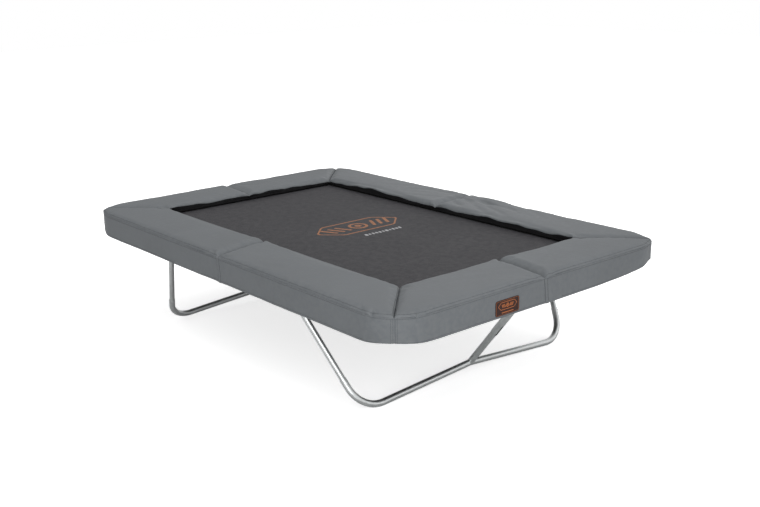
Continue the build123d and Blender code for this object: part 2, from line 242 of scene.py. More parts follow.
def grid_faces(rows, columns, closed=False, first=0):
    """Quads of a grid of points that is stored row by row; closed joins the last column to the first."""
    faces = []
    for i in range(rows - 1):
        for j in range(columns if closed else columns - 1):
            k = (j + 1) % columns
            a, b = first + i * columns, first + (i + 1) * columns
            faces.append((a + j, a + k, b + k, b + j))
    return faces


def applied(piece):
    """Replaces a piece's mesh by what its modifiers make of it."""
    bpy.context.view_layer.update()
    evaluated = piece.evaluated_get(bpy.context.evaluated_depsgraph_get())
    mesh = bpy.data.meshes.new_from_object(evaluated, preserve_all_data_layers=True,
                                           depsgraph=bpy.context.evaluated_depsgraph_get())
    piece.modifiers.clear()
    piece.data = mesh
    return piece


def face_outwards(mesh):
    """Turns the faces of a closed mesh to point outwards."""
    work = bmesh.new()
    work.from_mesh(mesh)
    bmesh.ops.recalc_face_normals(work, faces=work.faces)
    work.to_mesh(mesh)
    work.free()


def lofted(name, points, ring, smooth=True):
    """A closed mesh through rings of points that follow one another, capped at both ends."""
    faces = grid_faces(len(points) // ring, ring, closed=True)
    faces += [tuple(range(ring)), tuple(range(len(points) - ring, len(points)))]
    mesh = mesh_from(name, points, faces, smooth)
    face_outwards(mesh)
    return mesh


def strip_through(name, columns):
    """A closed strip from the lines that run along it."""
    return lofted(name, np.stack(columns, axis=1).reshape(-1, 3), len(columns))


def smooth_noise(points, size, seed, octaves=2):
    """Smooth values between about -1 and 1 at 3D points, with features of one size."""
    shift = Vector((seed * 7.31, seed * 3.17, seed * 1.91))
    return np.array([
        noise.fractal(Vector(p) / size + shift, 0.9, 2.0, octaves, noise_basis="PERLIN_ORIGINAL")
        for p in points])


# ---------------------------------------------------------------- node helpers
class Tree:
    """A geometry node tree with named inputs."""

    def __init__(self, name, inputs):
        self.tree = bpy.data.node_groups.new(name, "GeometryNodeTree")
        interface = self.tree.interface
        interface.new_socket("Geometry", in_out="INPUT", socket_type="NodeSocketGeometry")
        for label, kind in inputs.items():
            interface.new_socket(label, in_out="INPUT", socket_type="NodeSocket" + kind)
        interface.new_socket("Geometry", in_out="OUTPUT", socket_type="NodeSocketGeometry")
        self.inputs = self.tree.nodes.new("NodeGroupInput").outputs
        self.end = self.tree.nodes.new("NodeGroupOutput")

    def add(self, kind, inputs, **choices):
        """Adds a node, sets or links its inputs, and returns its first output."""
        node = self.tree.nodes.new(kind)
        for choice, value in choices.items():
            setattr(node, choice, value)
        for label, value in inputs.items():
            socket = node.inputs[label]
            if isinstance(value, bpy.types.NodeSocket):
                self.tree.links.new(value, socket)
            else:
                socket.default_value = value
        return node.outputs[0]

    def math(self, operation, a, b):
        return self.add("ShaderNodeMath", {0: a, 1: b}, operation=operation)

    def vector(self, x, y, z):
        return self.add("ShaderNodeCombineXYZ", {"X": x, "Y": y, "Z": z})

    def join(self, *parts):
        node = self.tree.nodes.new("GeometryNodeJoinGeometry")
        for part in parts:
            self.tree.links.new(part, node.inputs[0])
        return node.outputs[0]

    def finish(self, points, shape, turned):
        """Ends the tree: a shape at every point, made real mesh, with one smooth material."""
        placed = self.add("GeometryNodeInstanceOnPoints", {
            "Points": points, "Instance": shape, "Rotation": turned})
        real = self.add("GeometryNodeRealizeInstances", {"Geometry": placed})
        smooth = self.add("GeometryNodeSetShadeSmooth", {"Geometry": real})
        coated = self.add("GeometryNodeSetMaterial", {
            "Geometry": smooth, "Material": self.inputs["Material"]})
        self.tree.links.new(coated, self.end.inputs[0])
        return self.tree


def grow(name, mesh, tree, values):
    """Runs a geometry node tree on a mesh and returns the result as a plain piece."""
    piece = bpy.data.objects.new(name, mesh)
    bpy.context.scene.collection.objects.link(piece)
    modifier = piece.modifiers.new("Grow", "NODES")
    modifier.node_group = tree
    for socket in tree.interface.items_tree:
        if socket.in_out == "INPUT" and socket.name in values:
            modifier[socket.identifier] = values[socket.name]
    return applied(piece)


# ---------------------------------------------------------------- shader groups
def shader_group(name, inputs, outputs):
    """An empty shader node group with its sockets."""
    group = bpy.data.node_groups.new(name, "ShaderNodeTree")
    for label, kind, value in inputs:
        socket = group.interface.new_socket(label, in_out="INPUT", socket_type="NodeSocket" + kind)
        if value is not None:
            socket.default_value = value
    for label, kind in outputs:
        group.interface.new_socket(label, in_out="OUTPUT", socket_type="NodeSocket" + kind)
    return group


class Shader:
    """Adds nodes to a material or a shader group."""

    def __init__(self, tree):
        self.tree = tree

    def add(self, kind, inputs=None, **choices):
        node = self.tree.nodes.new(kind)
        for choice, value in choices.items():
            setattr(node, choice, value)
        for label, value in (inputs or {}).items():
            self.put(node.inputs[label], value)
        return node

    def put(self, socket, value):
        if isinstance(value, bpy.types.NodeSocket):
            self.tree.links.new(value, socket)
        else:
            socket.default_value = value

    def math(self, operation, a, b=0.0):
        return self.add("ShaderNodeMath", {0: a, 1: b}, operation=operation).outputs[0]

    def mix(self, share, a, b):
        node = self.add("ShaderNodeMix", data_type="RGBA")
        self.put(node.inputs[0], share)
        self.put(node.inputs[6], a)
        self.put(node.inputs[7], b)
        return node.outputs[2]

    def span(self, value, low, high, to_low, to_high):
        return self.add("ShaderNodeMapRange", {
            "Value": value, "From Min": low, "From Max": high,
            "To Min": to_low, "To Max": to_high}).outputs[0]


def group_ends(group):
    shader = Shader(group)
    return shader, shader.add("NodeGroupInput").outputs, shader.add("NodeGroupOutput")


def patches_group():
    """Soft irregular patches, for colour drift, dust and handling marks."""
    group = shader_group(
        "Patches", [("Vector", "Vector", None), ("Size", "Float", 0.1), ("Sharpness", "Float", 0.3)],
        [("Mask", "Float")])
    shader, given, end = group_ends(group)
    scale = shader.math("DIVIDE", 1.0, given["Size"])
    cloud = shader.add("ShaderNodeTexNoise", {"Vector": given["Vector"], "Scale": scale, "Detail": 5.0,
                                              "Roughness": 0.6, "Distortion": 0.4})
    low = shader.math("MULTIPLY", given["Sharpness"], 0.5)
    high = shader.math("SUBTRACT", 1.0, low)
    node = shader.add("ShaderNodeMapRange", {"Value": cloud.outputs[0], "From Min": low, "From Max": high})
    shader.put(end.inputs["Mask"], node.outputs[0])
    return group


def weave_group():
    """Plain weave: height of the threads and which of the two directions lies on top."""
    group = shader_group("Weave", [("Vector", "Vector", None), ("Thread", "Float", 0.0016)],
                         [("Height", "Float"), ("Over", "Float")])
    shader, given, end = group_ends(group)
    parts = shader.add("ShaderNodeSeparateXYZ", {0: given["Vector"]}).outputs
    step = shader.math("DIVIDE", math.pi, given["Thread"])
    warp = shader.math("SINE", shader.math("MULTIPLY", parts["X"], step))
    weft = shader.math("SINE", shader.math("MULTIPLY", parts["Y"], step))
    warp_top, weft_top = shader.math("ABSOLUTE", warp), shader.math("ABSOLUTE", weft)
    sign = shader.math("MULTIPLY", warp, weft)
    over = shader.math("GREATER_THAN", sign, 0.0)
    mixed = shader.add("ShaderNodeMix", {0: over, 2: warp_top, 3: weft_top})
    shader.put(end.inputs["Height"], mixed.outputs[0])
    shader.put(end.inputs["Over"], over)
    return group


def grain_group():
    """Fine embossed grain of coated fabric, with small creases."""
    group = shader_group("Grain", [("Vector", "Vector", None), ("Size", "Float", 0.0012)],
                         [("Height", "Float")])
    shader, given, end = group_ends(group)
    scale = shader.math("DIVIDE", 1.0, given["Size"])
    cells = shader.add("ShaderNodeTexVoronoi", {"Vector": given["Vector"], "Scale": scale},
                       feature="DISTANCE_TO_EDGE")
    fine = shader.add("ShaderNodeTexNoise", {"Vector": given["Vector"], "Scale": scale, "Detail": 3.0})
    total = shader.math("ADD", shader.math("MULTIPLY", cells.outputs[0], 0.6),
                        shader.math("MULTIPLY", fine.outputs[0], 0.6))
    shader.put(end.inputs["Height"], total)
    return group


GROUPS = {}
GROUP_MAKERS = {"patches": patches_group, "weave": weave_group, "grain": grain_group}


def place_group(shader, kind, **inputs):
    """Places a shared shader group in a material and returns its outputs."""
    if kind not in GROUPS:
        GROUPS[kind] = GROUP_MAKERS[kind]()
    node = shader.add("ShaderNodeGroup", node_tree=GROUPS[kind])
    for label, value in inputs.items():
        shader.put(node.inputs[label], value)
    return node.outputs


def patches(shader, where, size, sharpness):
    return place_group(shader, "patches", Vector=where, Size=size, Sharpness=sharpness)["Mask"]


def rgba(colour, factor=1.0):
    return (colour[0] * factor, colour[1] * factor, colour[2] * factor, 1.0)


def material_start(name, metallic=0.0, **fixed):
    """A new material with a Principled shader, and object coordinates to hang patterns on."""
    material = bpy.data.materials.new(name)
    material.use_nodes = True
    surface = material.node_tree.nodes["Principled BSDF"]
    surface.inputs["Metallic"].default_value = metallic
    for label, value in fixed.items():
        surface.inputs[label.replace("_", " ")].default_value = value
    shader = Shader(material.node_tree)
    where = shader.add("ShaderNodeTexCoord").outputs["Object"]
    return material, shader, surface, where


def bumped(shader, surface, height, distance, strength=1.0, below=None):
    """Gives a surface a bump from a height, on top of another normal if there is one."""
    inputs = {"Height": height, "Distance": distance, "Strength": strength}
    if below is not None:
        inputs["Normal"] = below
    shader.put(surface.inputs["Normal"], shader.add("ShaderNodeBump", inputs).outputs[0])


def coloured(shader, surface, colour, mask, smoothest, roughest):
    """Gives a surface its colour, and a roughness that follows a mask."""
    shader.put(surface.inputs["Base Color"], colour)
    shader.put(surface.inputs["Roughness"], shader.span(mask, 0, 1, smoothest, roughest))


# ---------------------------------------------------------------- materials
def vinyl_material():
    """Grey coated fabric: satin, finely embossed, with a little dust and scuffing."""
    material, shader, surface, where = material_start("cover_vinyl", Specular_IOR_Level=0.42)
    colour = settings("pads").vinyl
    drift = patches(shader, where, 0.45, 0.5)
    dust = patches(shader, where, 0.035, 0.75)
    base = shader.mix(drift, rgba(colour, 0.93), rgba(colour, 1.06))
    dusty = shader.mix(shader.math("MULTIPLY", dust, 0.10), base, rgba((0.30, 0.30, 0.29)))
    coloured(shader, surface, dusty, dust, 0.50, 0.62)
    swell = patches(shader, where, 0.06, 0.2)
    wide = shader.add("ShaderNodeBump", {"Height": swell, "Distance": 0.0012, "Strength": 0.5}).outputs[0]
    grain = place_group(shader, "grain", Vector=where, Size=0.0014)["Height"]
    bumped(shader, surface, grain, 0.00012, 0.7, below=wide)
    return material


def woven_material(name, colour, lighter, thread, patch_size, smoothest, bump, specular):
    """Black woven cloth: two tones of thread, worn in patches. bump is a distance and a strength."""
    material, shader, surface, where = material_start(name, Specular_IOR_Level=specular)
    weave = place_group(shader, "weave", Vector=where, Thread=thread)
    toned = shader.mix(weave["Over"], rgba(colour), rgba(colour, lighter))
    coloured(shader, surface, toned, patches(shader, where, patch_size, 0.4), smoothest, 0.8)
    bumped(shader, surface, weave["Height"], *bump)
    return material


def thread_material(name, colour):
    """Twisted sewing thread."""
    material, shader, surface, where = material_start(name, Specular_IOR_Level=0.3)
    twist = shader.add("ShaderNodeTexNoise", {"Vector": where, "Scale": 1500.0, "Detail": 2.0}).outputs[0]
    coloured(shader, surface, shader.mix(twist, rgba(colour, 0.7), rgba(colour, 1.3)), twist, 0.6, 0.85)
    return material


def mat_material():
    """Woven jumping mat: matt black-grey threads with a slight sheen, lighter in broad patches and dusty in small
    ones.
    """
    material, shader, surface, where = material_start("mat_weave", Specular_IOR_Level=0.26)
    mat = settings("mat")
    weave = place_group(shader, "weave", Vector=where, Thread=mat.thread_pitch)
    drift = patches(shader, where, 0.6, 0.4)
    dust = patches(shader, where, 0.05, 0.8)
    thread = shader.mix(weave["Over"], rgba(mat.fabric, 0.88), rgba(mat.fabric, 1.12))
    toned = shader.mix(shader.math("MULTIPLY", drift, 0.25), thread, rgba(mat.fabric, 1.25))
    dusty = shader.mix(shader.math("MULTIPLY", dust, 0.05), toned, rgba((0.28, 0.27, 0.26)))
    coloured(shader, surface, dusty, drift, 0.66, 0.76)
    bumped(shader, surface, weave["Height"], 0.00035, 0.5)
    return material


def print_material(name, colour, cover=0.55):
    """Screen-printed ink that lets a little of the weave through."""
    material, shader, surface, where = material_start(name, Specular_IOR_Level=0.35)
    weave = place_group(shader, "weave", Vector=where, Thread=settings("mat").thread_pitch)
    worn = patches(shader, where, 0.018, 0.7)
    thin = shader.math("MULTIPLY", worn, 1 - cover)
    inked = shader.mix(weave["Over"], rgba(colour, 0.85), rgba(colour, 1.1))
    coloured(shader, surface, shader.mix(thin, inked, rgba(settings("mat").fabric, 1.5)), worn, 0.5, 0.68)
    bumped(shader, surface, weave["Height"], 0.0002, 0.4)
    return material


def zinc_material(name, colour, low, high, size):
    """Galvanised steel: crystals of slightly different brightness, drawing lines and dull patches."""
    material, shader, surface, where = material_start(name, metallic=1.0)
    crystals = shader.add("ShaderNodeTexVoronoi", {"Vector": where, "Scale": 1 / size, "Randomness": 1.0})
    tone = shader.add("ShaderNodeSeparateColor", {0: crystals.outputs["Color"]}).outputs[0]
    dull = patches(shader, where, 0.07, 0.5)
    shade = shader.math("ADD", shader.math("MULTIPLY", tone, 0.5), shader.math("MULTIPLY", dull, 0.5))
    coloured(shader, surface, shader.mix(shade, rgba(colour, 0.86), rgba(colour, 1.1)), shade, low, high)
    fine = shader.add("ShaderNodeTexNoise", {"Vector": where, "Scale": 260.0, "Detail": 4.0}).outputs[0]
    bumped(shader, surface, fine, 0.0002, 0.25)
    return material


def badge_material(name, colour):
    """Moulded soft plastic with a fine grain."""
    material, shader, surface, where = material_start(name, Specular_IOR_Level=0.22)
    patch = patches(shader, where, 0.02, 0.5)
    coloured(shader, surface, shader.mix(patch, rgba(colour, 0.9), rgba(colour, 1.12)), patch, 0.4, 0.52)
    grain = place_group(shader, "grain", Vector=where, Size=0.0009)["Height"]
    bumped(shader, surface, grain, 0.00008, 0.6)
    return material


def floor_material():
    """Matt pale floor, a touch self-bright as on a light table, so that shadows stay soft."""
    material, shader, surface, where = material_start("pale_floor", Specular_IOR_Level=0.1)
    cloud = patches(shader, where, 3.0, 0.2)
    colour = settings("stage").floor
    surface.inputs["Roughness"].default_value = 0.9
    surface.inputs["Emission Color"].default_value = (1, 1, 1, 1)
    rays = shader.add("ShaderNodeLightPath").outputs
    pale = shader.mix(cloud, rgba(colour, 0.995), rgba(colour))
    # Glossy rays see the floor darker than it is: a painted darker reflection of the floor in the metal.
    shader.put(surface.inputs["Base Color"], shader.mix(rays["Is Glossy Ray"], pale, rgba(colour, 0.85)))
    shader.put(surface.inputs["Emission Strength"], shader.math("MULTIPLY", rays["Is Camera Ray"], 0.66))
    return material


MATERIAL_MAKERS = {
    "vinyl": vinyl_material,
    "liner_and_shade": lambda: woven_material(
        "cover_liner", settings("pads").liner_and_shade, 1.6, 0.0021, 0.09, 0.62, (0.0003, 0.6), 0.12),
    "cover_thread": lambda: thread_material("cover_thread", settings("pads").thread),
    "mat_thread": lambda: thread_material("mat_thread", (0.02, 0.02, 0.022)),
    "mat": mat_material,
    "webbing": lambda: woven_material(
        "webbing", settings("mat").webbing, 1.8, 0.0026, 0.04, 0.6, (0.0005, 0.8), 0.3),
    "print_main": lambda: print_material("print_orange", settings("mat").print_main),
    "print_light": lambda: print_material("print_pale", settings("mat").print_light),
    "tube_zinc": lambda: zinc_material(
        "tube_zinc", settings("metal").zinc, 0.32, 0.48, settings("metal").spangle),
    "spring_zinc": lambda: zinc_material("spring_zinc", (0.55, 0.57, 0.60), 0.26, 0.36, 0.004),
    "screw_zinc": lambda: zinc_material("screw_zinc", (0.50, 0.50, 0.48), 0.3, 0.45, 0.002),
    "button_metal": lambda: zinc_material("button_metal", (0.78, 0.79, 0.80), 0.12, 0.2, 0.004),
    "badge": lambda: badge_material("badge_brown", (0.030, 0.012, 0.009)),
    "badge_print": lambda: badge_material("badge_orange", (0.42, 0.13, 0.04)),
    "floor": floor_material,
}
MADE = {}


def finish_of(kind):
    if kind not in MADE:
        MADE[kind] = MATERIAL_MAKERS[kind]()
    return MADE[kind]


def coat(node, kind):
    """Gives a CAD node that stays its material."""
    piece = frame["nodes"][node]
    if not piece.material_slots:
        piece.data.materials.append(None)
    for place in piece.material_slots:
        place.material = finish_of(kind)


# ---------------------------------------------------------------- padding: plan
class Arm:
    """One pad's share of the padding, from the middle of a side to the mitre at a corner."""

    def __init__(self, side, corner, seam_outer, seam_inner):
        self.name = f"{side}_{corner}"
        self.side = side
        self.outward, self.along = OUTWARD[side], OUTWARD[corner]
        self.reach, self.edge = (PAD_X, PAD_Y) if self.outward.y else (PAD_Y, PAD_X)
        self.toward = self.along.x + self.along.y
        self.seam_outer, self.seam_inner = seam_outer * self.toward, seam_inner * self.toward
        self.corner = "_".join(sorted((side, corner)))
        self.seed = len(self.name) + 3 * ord(side[0]) + ord(corner[0])

    def start(self, depth):
        """Where the arm begins, along its side: the middle seam runs a little aslant."""
        share = np.clip(depth / PAD_WIDTH, 0, 1)
        return self.seam_outer + (self.seam_inner - self.seam_outer) * share

    def seam_line(self, fall):
        """Where the seam between the two skirts of a side lies, at a share of the skirt's fall."""
        return self.start(0.0) + SEAM_SLANT * fall * self.toward

    def length(self, depth):
        """How far the arm reaches along its side at a depth in from the outer edge, round the corner."""
        straight = self.reach - PAD_CORNER_R
        around = straight + (PAD_CORNER_R - depth) * math.pi / 4
        return np.where(depth < PAD_CORNER_R, around, self.reach - depth)

    def place(self, run, depth, height):
        """Points at a run along the side, a depth in from the outer edge, and a height."""
        run, depth, height = np.broadcast_arrays(
            np.asarray(run, float), np.asarray(depth, float), np.asarray(height, float))
        straight = self.reach - PAD_CORNER_R
        radius = np.maximum(PAD_CORNER_R - depth, 1e-6)
        past = np.maximum(run - straight, 0)
        rounded = depth < PAD_CORNER_R
        turn = np.where(rounded, past / radius, 0)
        a = np.minimum(run, straight) + np.where(rounded, radius * np.sin(turn), past)
        b = self.edge - np.where(rounded, PAD_CORNER_R - radius * np.cos(turn), depth)
        pull = CORNER_PULL.get(self.corner, 0.0) * np.exp(-((self.length(depth) - run) / 0.055) ** 2)
        pull = pull * np.clip(1 - depth / 0.16, 0, 1)
        points = np.zeros(run.shape + (3,))
        points += ((a + pull)[..., None] * np.array(self.along)
                   + (b + pull)[..., None] * np.array(self.outward))
        points[..., 2] = height
        return points


# How far the cover's corner is drawn out past its round, and how deep the middle seams lie.
CORNER_PULL = {"back_right": 0.017, "front_left": 0.015, "back_left": 0.012}
MIDDLE_SINK = {
    "front": (0.26, 0.38), "right": (0.45, 0.30), "left": (0.12, 0.16), "back": (0.16, 0.20)}
SEAM_SLANT = 0.02                     # how far a skirt's middle seam leans over its whole fall

ARMS = [
    Arm("front", "left", 0.05, -0.05), Arm("front", "right", 0.05, -0.05),
    Arm("back", "left", -0.045, -0.01), Arm("back", "right", -0.045, -0.01),
    Arm("left", "front", 0.0, -0.045), Arm("left", "back", 0.0, -0.045),
    Arm("right", "front", 0.006, 0.055), Arm("right", "back", 0.006, 0.055),
]
NEAR_SEAM = np.array([0, 0.003, 0.007, 0.013, 0.021, 0.031])   # rows of points beside a seam
CELL = 0.0145                         # distance between the other rows
# These rows take the liner's near-black, which also stands in as painted shade under the pads' inner edge.
LINER_ROWS = 5                        # rows of the inner lip that belong to the black underside
SEAM_GAP = 0.0007                     # between a swollen cover and its neighbour
SWELL_CAP = 0.009                     # furthest that the filling moves a point of the cover
SIM_STEPS = 20


def shares_along(arm):
    """Shares of an arm's length for its rows of points, closer together beside its two seams."""
    total = arm.reach - PAD_CORNER_R
    middle_count = int((total - 2 * NEAR_SEAM[-1]) / CELL)
    middle = np.linspace(NEAR_SEAM[-1], total - NEAR_SEAM[-1], middle_count)[1:-1]
    return np.concatenate([NEAR_SEAM, middle, total - NEAR_SEAM[::-1]]) / total


def pad_section():
    """The top of a pad from the sewn edge over the shoulder to the inner edge: depths and heights."""
    pad = settings("pads")
    angles = np.linspace(0, math.pi / 2, 6)
    shoulder_depth = pad.shoulder * (1 - np.cos(angles))
    shoulder_height = SEAM_Z + (PAD_TOP - SEAM_Z) * np.sin(angles)
    flat = np.linspace(pad.shoulder, PAD_WIDTH - 0.018, 31)[1:]
    crown = pad.crown * np.sin(math.pi * flat / PAD_WIDTH) ** 0.7 + pad.inner_rise * flat / PAD_WIDTH
    lip = PAD_TOP + crown[-1]
    lip_depth = PAD_WIDTH - np.array([0.011, 0.005, 0.001, 0, 0, 0.001, 0.003, 0.007])
    lip_height = np.array([lip - 0.0005, lip - 0.003, lip - 0.008, lip - 0.015, lip - 0.022,
                           PAD_BOTTOM + 0.012, PAD_BOTTOM + 0.005, PAD_BOTTOM + 0.001])
    depths = np.concatenate([[0.008], shoulder_depth, flat, lip_depth])
    heights = np.concatenate([[SEAM_Z - 0.001], shoulder_height, PAD_TOP + crown, lip_height])
    return depths, heights


def pad_mesh(arm):
    """A closed pad with a valley at each seam; also its held points, their columns and their count."""
    depths, heights = pad_section()
    count = len(depths)
    under = np.linspace(0.010, PAD_WIDTH - 0.010, count)
    shares = shares_along(arm)
    rows = []
    for share in shares:
        top = np.stack([depths, heights])
        bottom = np.stack([under[::-1], np.full(count, PAD_BOTTOM)])
        depth, height = np.concatenate([top, bottom], axis=1)
        begin, end = arm.start(depth), arm.length(depth)
        run = begin + share * (end - begin)
        from_seam, from_mitre = share * (end - begin), (1 - share) * (end - begin)
        wide, narrow = MIDDLE_SINK[arm.side]
        sunk = wide * np.exp(-(from_seam / 0.019) ** 2) + narrow * np.exp(-(from_seam / 0.006) ** 2)
        sunk += 0.14 * np.exp(-(from_mitre / 0.014) ** 2) + 0.28 * np.exp(-(from_mitre / 0.005) ** 2)
        puffed = 0.004 * np.exp(-((from_seam - 0.06) / 0.04) ** 2) * (height > PAD_TOP - 0.002)
        height = PAD_BOTTOM + (height + puffed - PAD_BOTTOM) * (1 - sunk)
        rows.append(arm.place(run, depth, height))
    ring = 2 * count
    points = np.concatenate(rows)
    faces = grid_faces(len(shares), ring, closed=True)
    for first in (0, (len(shares) - 1) * ring):
        for j in range(count - 1):
            faces.append((first + j, first + j + 1, first + ring - 2 - j, first + ring - 1 - j))
    mesh = mesh_from(f"pad_{arm.name}", points, faces)
    face_outwards(mesh)
    column = np.arange(len(points)) % ring
    row = np.arange(len(points)) // ring
    held = (column == 0) | (column >= count - 2) | (row == 0) | (row == len(shares) - 1)
    return mesh, held, column, count


def inflate(piece, held, cap, arm):
    """Swells a cover by cloth simulation; no point moves past the cap or below the pad's underside."""
    pad = settings("pads")
    mesh = piece.data
    before = np.array([v.co for v in mesh.vertices])
    stir = smooth_noise(before, 0.07, arm.seed)[:, None] * np.array([0.0006, 0.0006, 0.0012])
    stir[held] = 0
    mesh.vertices.foreach_set("co", (before + stir).astype(np.float32).ravel())
    group = piece.vertex_groups.new(name="held")
    group.add([int(i) for i in np.flatnonzero(held)], 1.0, "REPLACE")
    cloth = piece.modifiers.new("Cover", "CLOTH")
    cover = cloth.settings
    cover.quality = 5
    cover.mass = 0.25
    cover.tension_stiffness = cover.compression_stiffness = 18
    cover.shear_stiffness = 6
    cover.bending_stiffness = 1.2
    cover.vertex_group_mass = "held"
    cover.use_pressure = True
    cover.uniform_pressure_force = pad.pressure
    cover.shrink_min = -pad.slack
    cover.effector_weights.gravity = 0
    cloth.point_cache.frame_start, cloth.point_cache.frame_end = 1, SIM_STEPS
    scene = bpy.context.scene
    for step in range(1, SIM_STEPS + 1):
        scene.frame_set(step)
    swollen = piece.evaluated_get(bpy.context.evaluated_depsgraph_get()).data
    after = np.array([v.co for v in swollen.vertices])
    piece.modifiers.remove(cloth)
    piece.vertex_groups.clear()
    scene.frame_set(1)
    moved = after - before
    distance = np.linalg.norm(moved, axis=1)
    moved *= (np.tanh(distance / cap) * cap / np.maximum(distance, 1e-9))[:, None]
    moved[held] = 0
    after = before + moved
    after[:, 2] = np.maximum(after[:, 2], PAD_BOTTOM)
    run, out = after @ np.array(arm.along), after @ np.array(arm.outward)
    limited = np.clip(run, arm.start(arm.edge - out) + SEAM_GAP, out - arm.edge + arm.reach - SEAM_GAP)
    after += (limited - run)[:, None] * np.array(arm.along)
    mesh.vertices.foreach_set("co", after.astype(np.float32).ravel())
    mesh.update()


def subdivided(piece):
    finer = piece.modifiers.new("Finer", "SUBSURF")
    finer.levels = finer.render_levels = 1
    return applied(piece)


# Darts beside a corner, as (turn from the straight, width, depth) for each.
CORNER_DARTS = {
    "front_right": ((0.27, 0.013, 0.018),),
    "back_left": ((0.42, 0.012, 0.010),),
    "others": ((0.30, 0.012, 0.009),),
}
# Height of the puckers beside a cover's middle seam, and of its loose folds.
PUCKERS = {"front_left": 0.0045, "back_left": 0.002}
LOOSE_FOLDS = {
    "back_right": 0.024, "back_left": 0.007, "left_back": 0.008, "left_front": 0.005,
    "front_left": 0.003, "right_back": 0.003, "front_right": 0.002, "right_front": 0.002}


def darts_of(arm):
    return CORNER_DARTS.get(arm.corner, CORNER_DARTS["others"])


def tailored(piece, arm):
    """Adds what the sewing does to a cover: darts beside each corner, puckers by the seam, loose folds."""
    mesh = piece.data
    points = np.array([v.co for v in mesh.vertices])
    local = points @ np.array([arm.along, arm.outward]).T
    run, depth = local[:, 0], arm.edge - local[:, 1]
    top = points[:, 2] > PAD_BOTTOM + 0.012
    corner_x, corner_y = arm.reach - PAD_CORNER_R, arm.edge - PAD_CORNER_R
    turn = np.arctan2(np.maximum(run - corner_x, 0), np.maximum(local[:, 1] - corner_y, 1e-6))
    radial = np.hypot(np.maximum(run - corner_x, 0), np.maximum(local[:, 1] - corner_y, 0))
    near_edge = np.where(run > corner_x, PAD_CORNER_R - radial, depth)
    lift = np.zeros(len(points))
    for at, width, deep in darts_of(arm):
        from_dart = (turn - at) * PAD_CORNER_R + 0.35 * (near_edge - 0.01)
        dart = np.exp(-(from_dart / width) ** 2 - ((near_edge - 0.008) / 0.022) ** 2)
        lift -= deep * dart * (run > corner_x)
    gather = np.exp(-(near_edge / 0.03) ** 2)
    puckers = 0.0016 + PUCKERS.get(arm.name, 0.0) * np.exp(-np.abs(run - arm.start(depth)) / 0.28)
    lift += puckers * gather * smooth_noise(points * [1, 1, 0], 0.026, arm.seed)
    ruck = np.exp(-((run - 0.27) / 0.16) ** 2 - (near_edge / 0.06) ** 2)
    loose = LOOSE_FOLDS[arm.name]
    lift += 0.55 * loose * ruck
    spread = np.exp(-((run - arm.start(depth)) / 0.75) ** 2) * np.clip(1.3 - depth / PAD_WIDTH, 0, 1)
    slant = points.copy()
    slant[:, 0], slant[:, 1] = (run + 0.8 * depth) * 0.30, depth - 0.45 * run
    creases = smooth_noise(slant * [1, 1, 0], 0.095, arm.seed + 5, octaves=1)
    lift += loose * spread * (creases - 0.7 * np.abs(creases) + 0.15)
    if arm.side in ("left", "back"):
        lip = np.clip((depth - PAD_WIDTH + 0.05) / 0.05, 0, 1)
        lift += 0.013 * lip * smooth_noise(points * [1, 1, 0], 0.13, 11, octaves=1)
        lift += 0.026 * lip * smooth_noise(points * [1, 1, 0], 0.36, 12, octaves=1)
    points[:, 2] += np.where(top, lift, 0)
    points[:, 2] = np.maximum(points[:, 2], PAD_BOTTOM)
    mesh.vertices.foreach_set("co", points.astype(np.float32).ravel())
    mesh.update()


# ---------------------------------------------------------------- padding: skirts
SKIRT_FALL = np.concatenate([[0.0, 0.0025, 0.006], np.linspace(0.012, 1, 14)])
SKIRT_THICKNESS = 0.0016
HEM_HEIGHT = 0.020
SKIRT_INSET = 0.002
TAPE_WIDTH = 0.024
BADGE_Y = sum(corner.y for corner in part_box("badge")) / 2


def skirt_offset(arm, run, fall, begin, end):
    """How far a skirt stands out from the padding's outer edge: waves, seam pulls and the hem."""
    height = SEAM_Z - fall * (SEAM_Z - SKIRT_BOTTOM)
    place = arm.place(run, 0.0, height)
    from_seam, from_corner = np.abs(run - begin), np.abs(end - run)
    waves = smooth_noise((place * [1, 1, 0.35]).reshape(-1, 3), 0.30, 3).reshape(run.shape)
    folds = smooth_noise((place * [1, 1, 0.5]).reshape(-1, 3), 0.050, 4).reshape(run.shape)
    beside_seam = np.exp(-from_seam / 0.11) + 0.6 * np.exp(-from_corner / 0.13)
    out = fall * 0.0045 * waves + (0.0005 + 0.0024 * beside_seam) * folds * np.minimum(fall * 6, 1)
    out -= 0.0035 * np.exp(-(from_corner / 0.010) ** 2)
    for at, width, deep in darts_of(arm):
        from_dart = from_corner - (math.pi / 4 - at) * PAD_CORNER_R
        out -= 0.6 * deep * np.exp(-(from_dart / width) ** 2 - (fall / 0.09) ** 2)
    out += 0.0008 * (height < SKIRT_BOTTOM + HEM_HEIGHT)
    by_badge = np.exp(-((place[..., 1] - BADGE_Y) / 0.17) ** 4) * (place[..., 0] > PAD_X - 0.05)
    return out * (1 - by_badge) - SKIRT_INSET


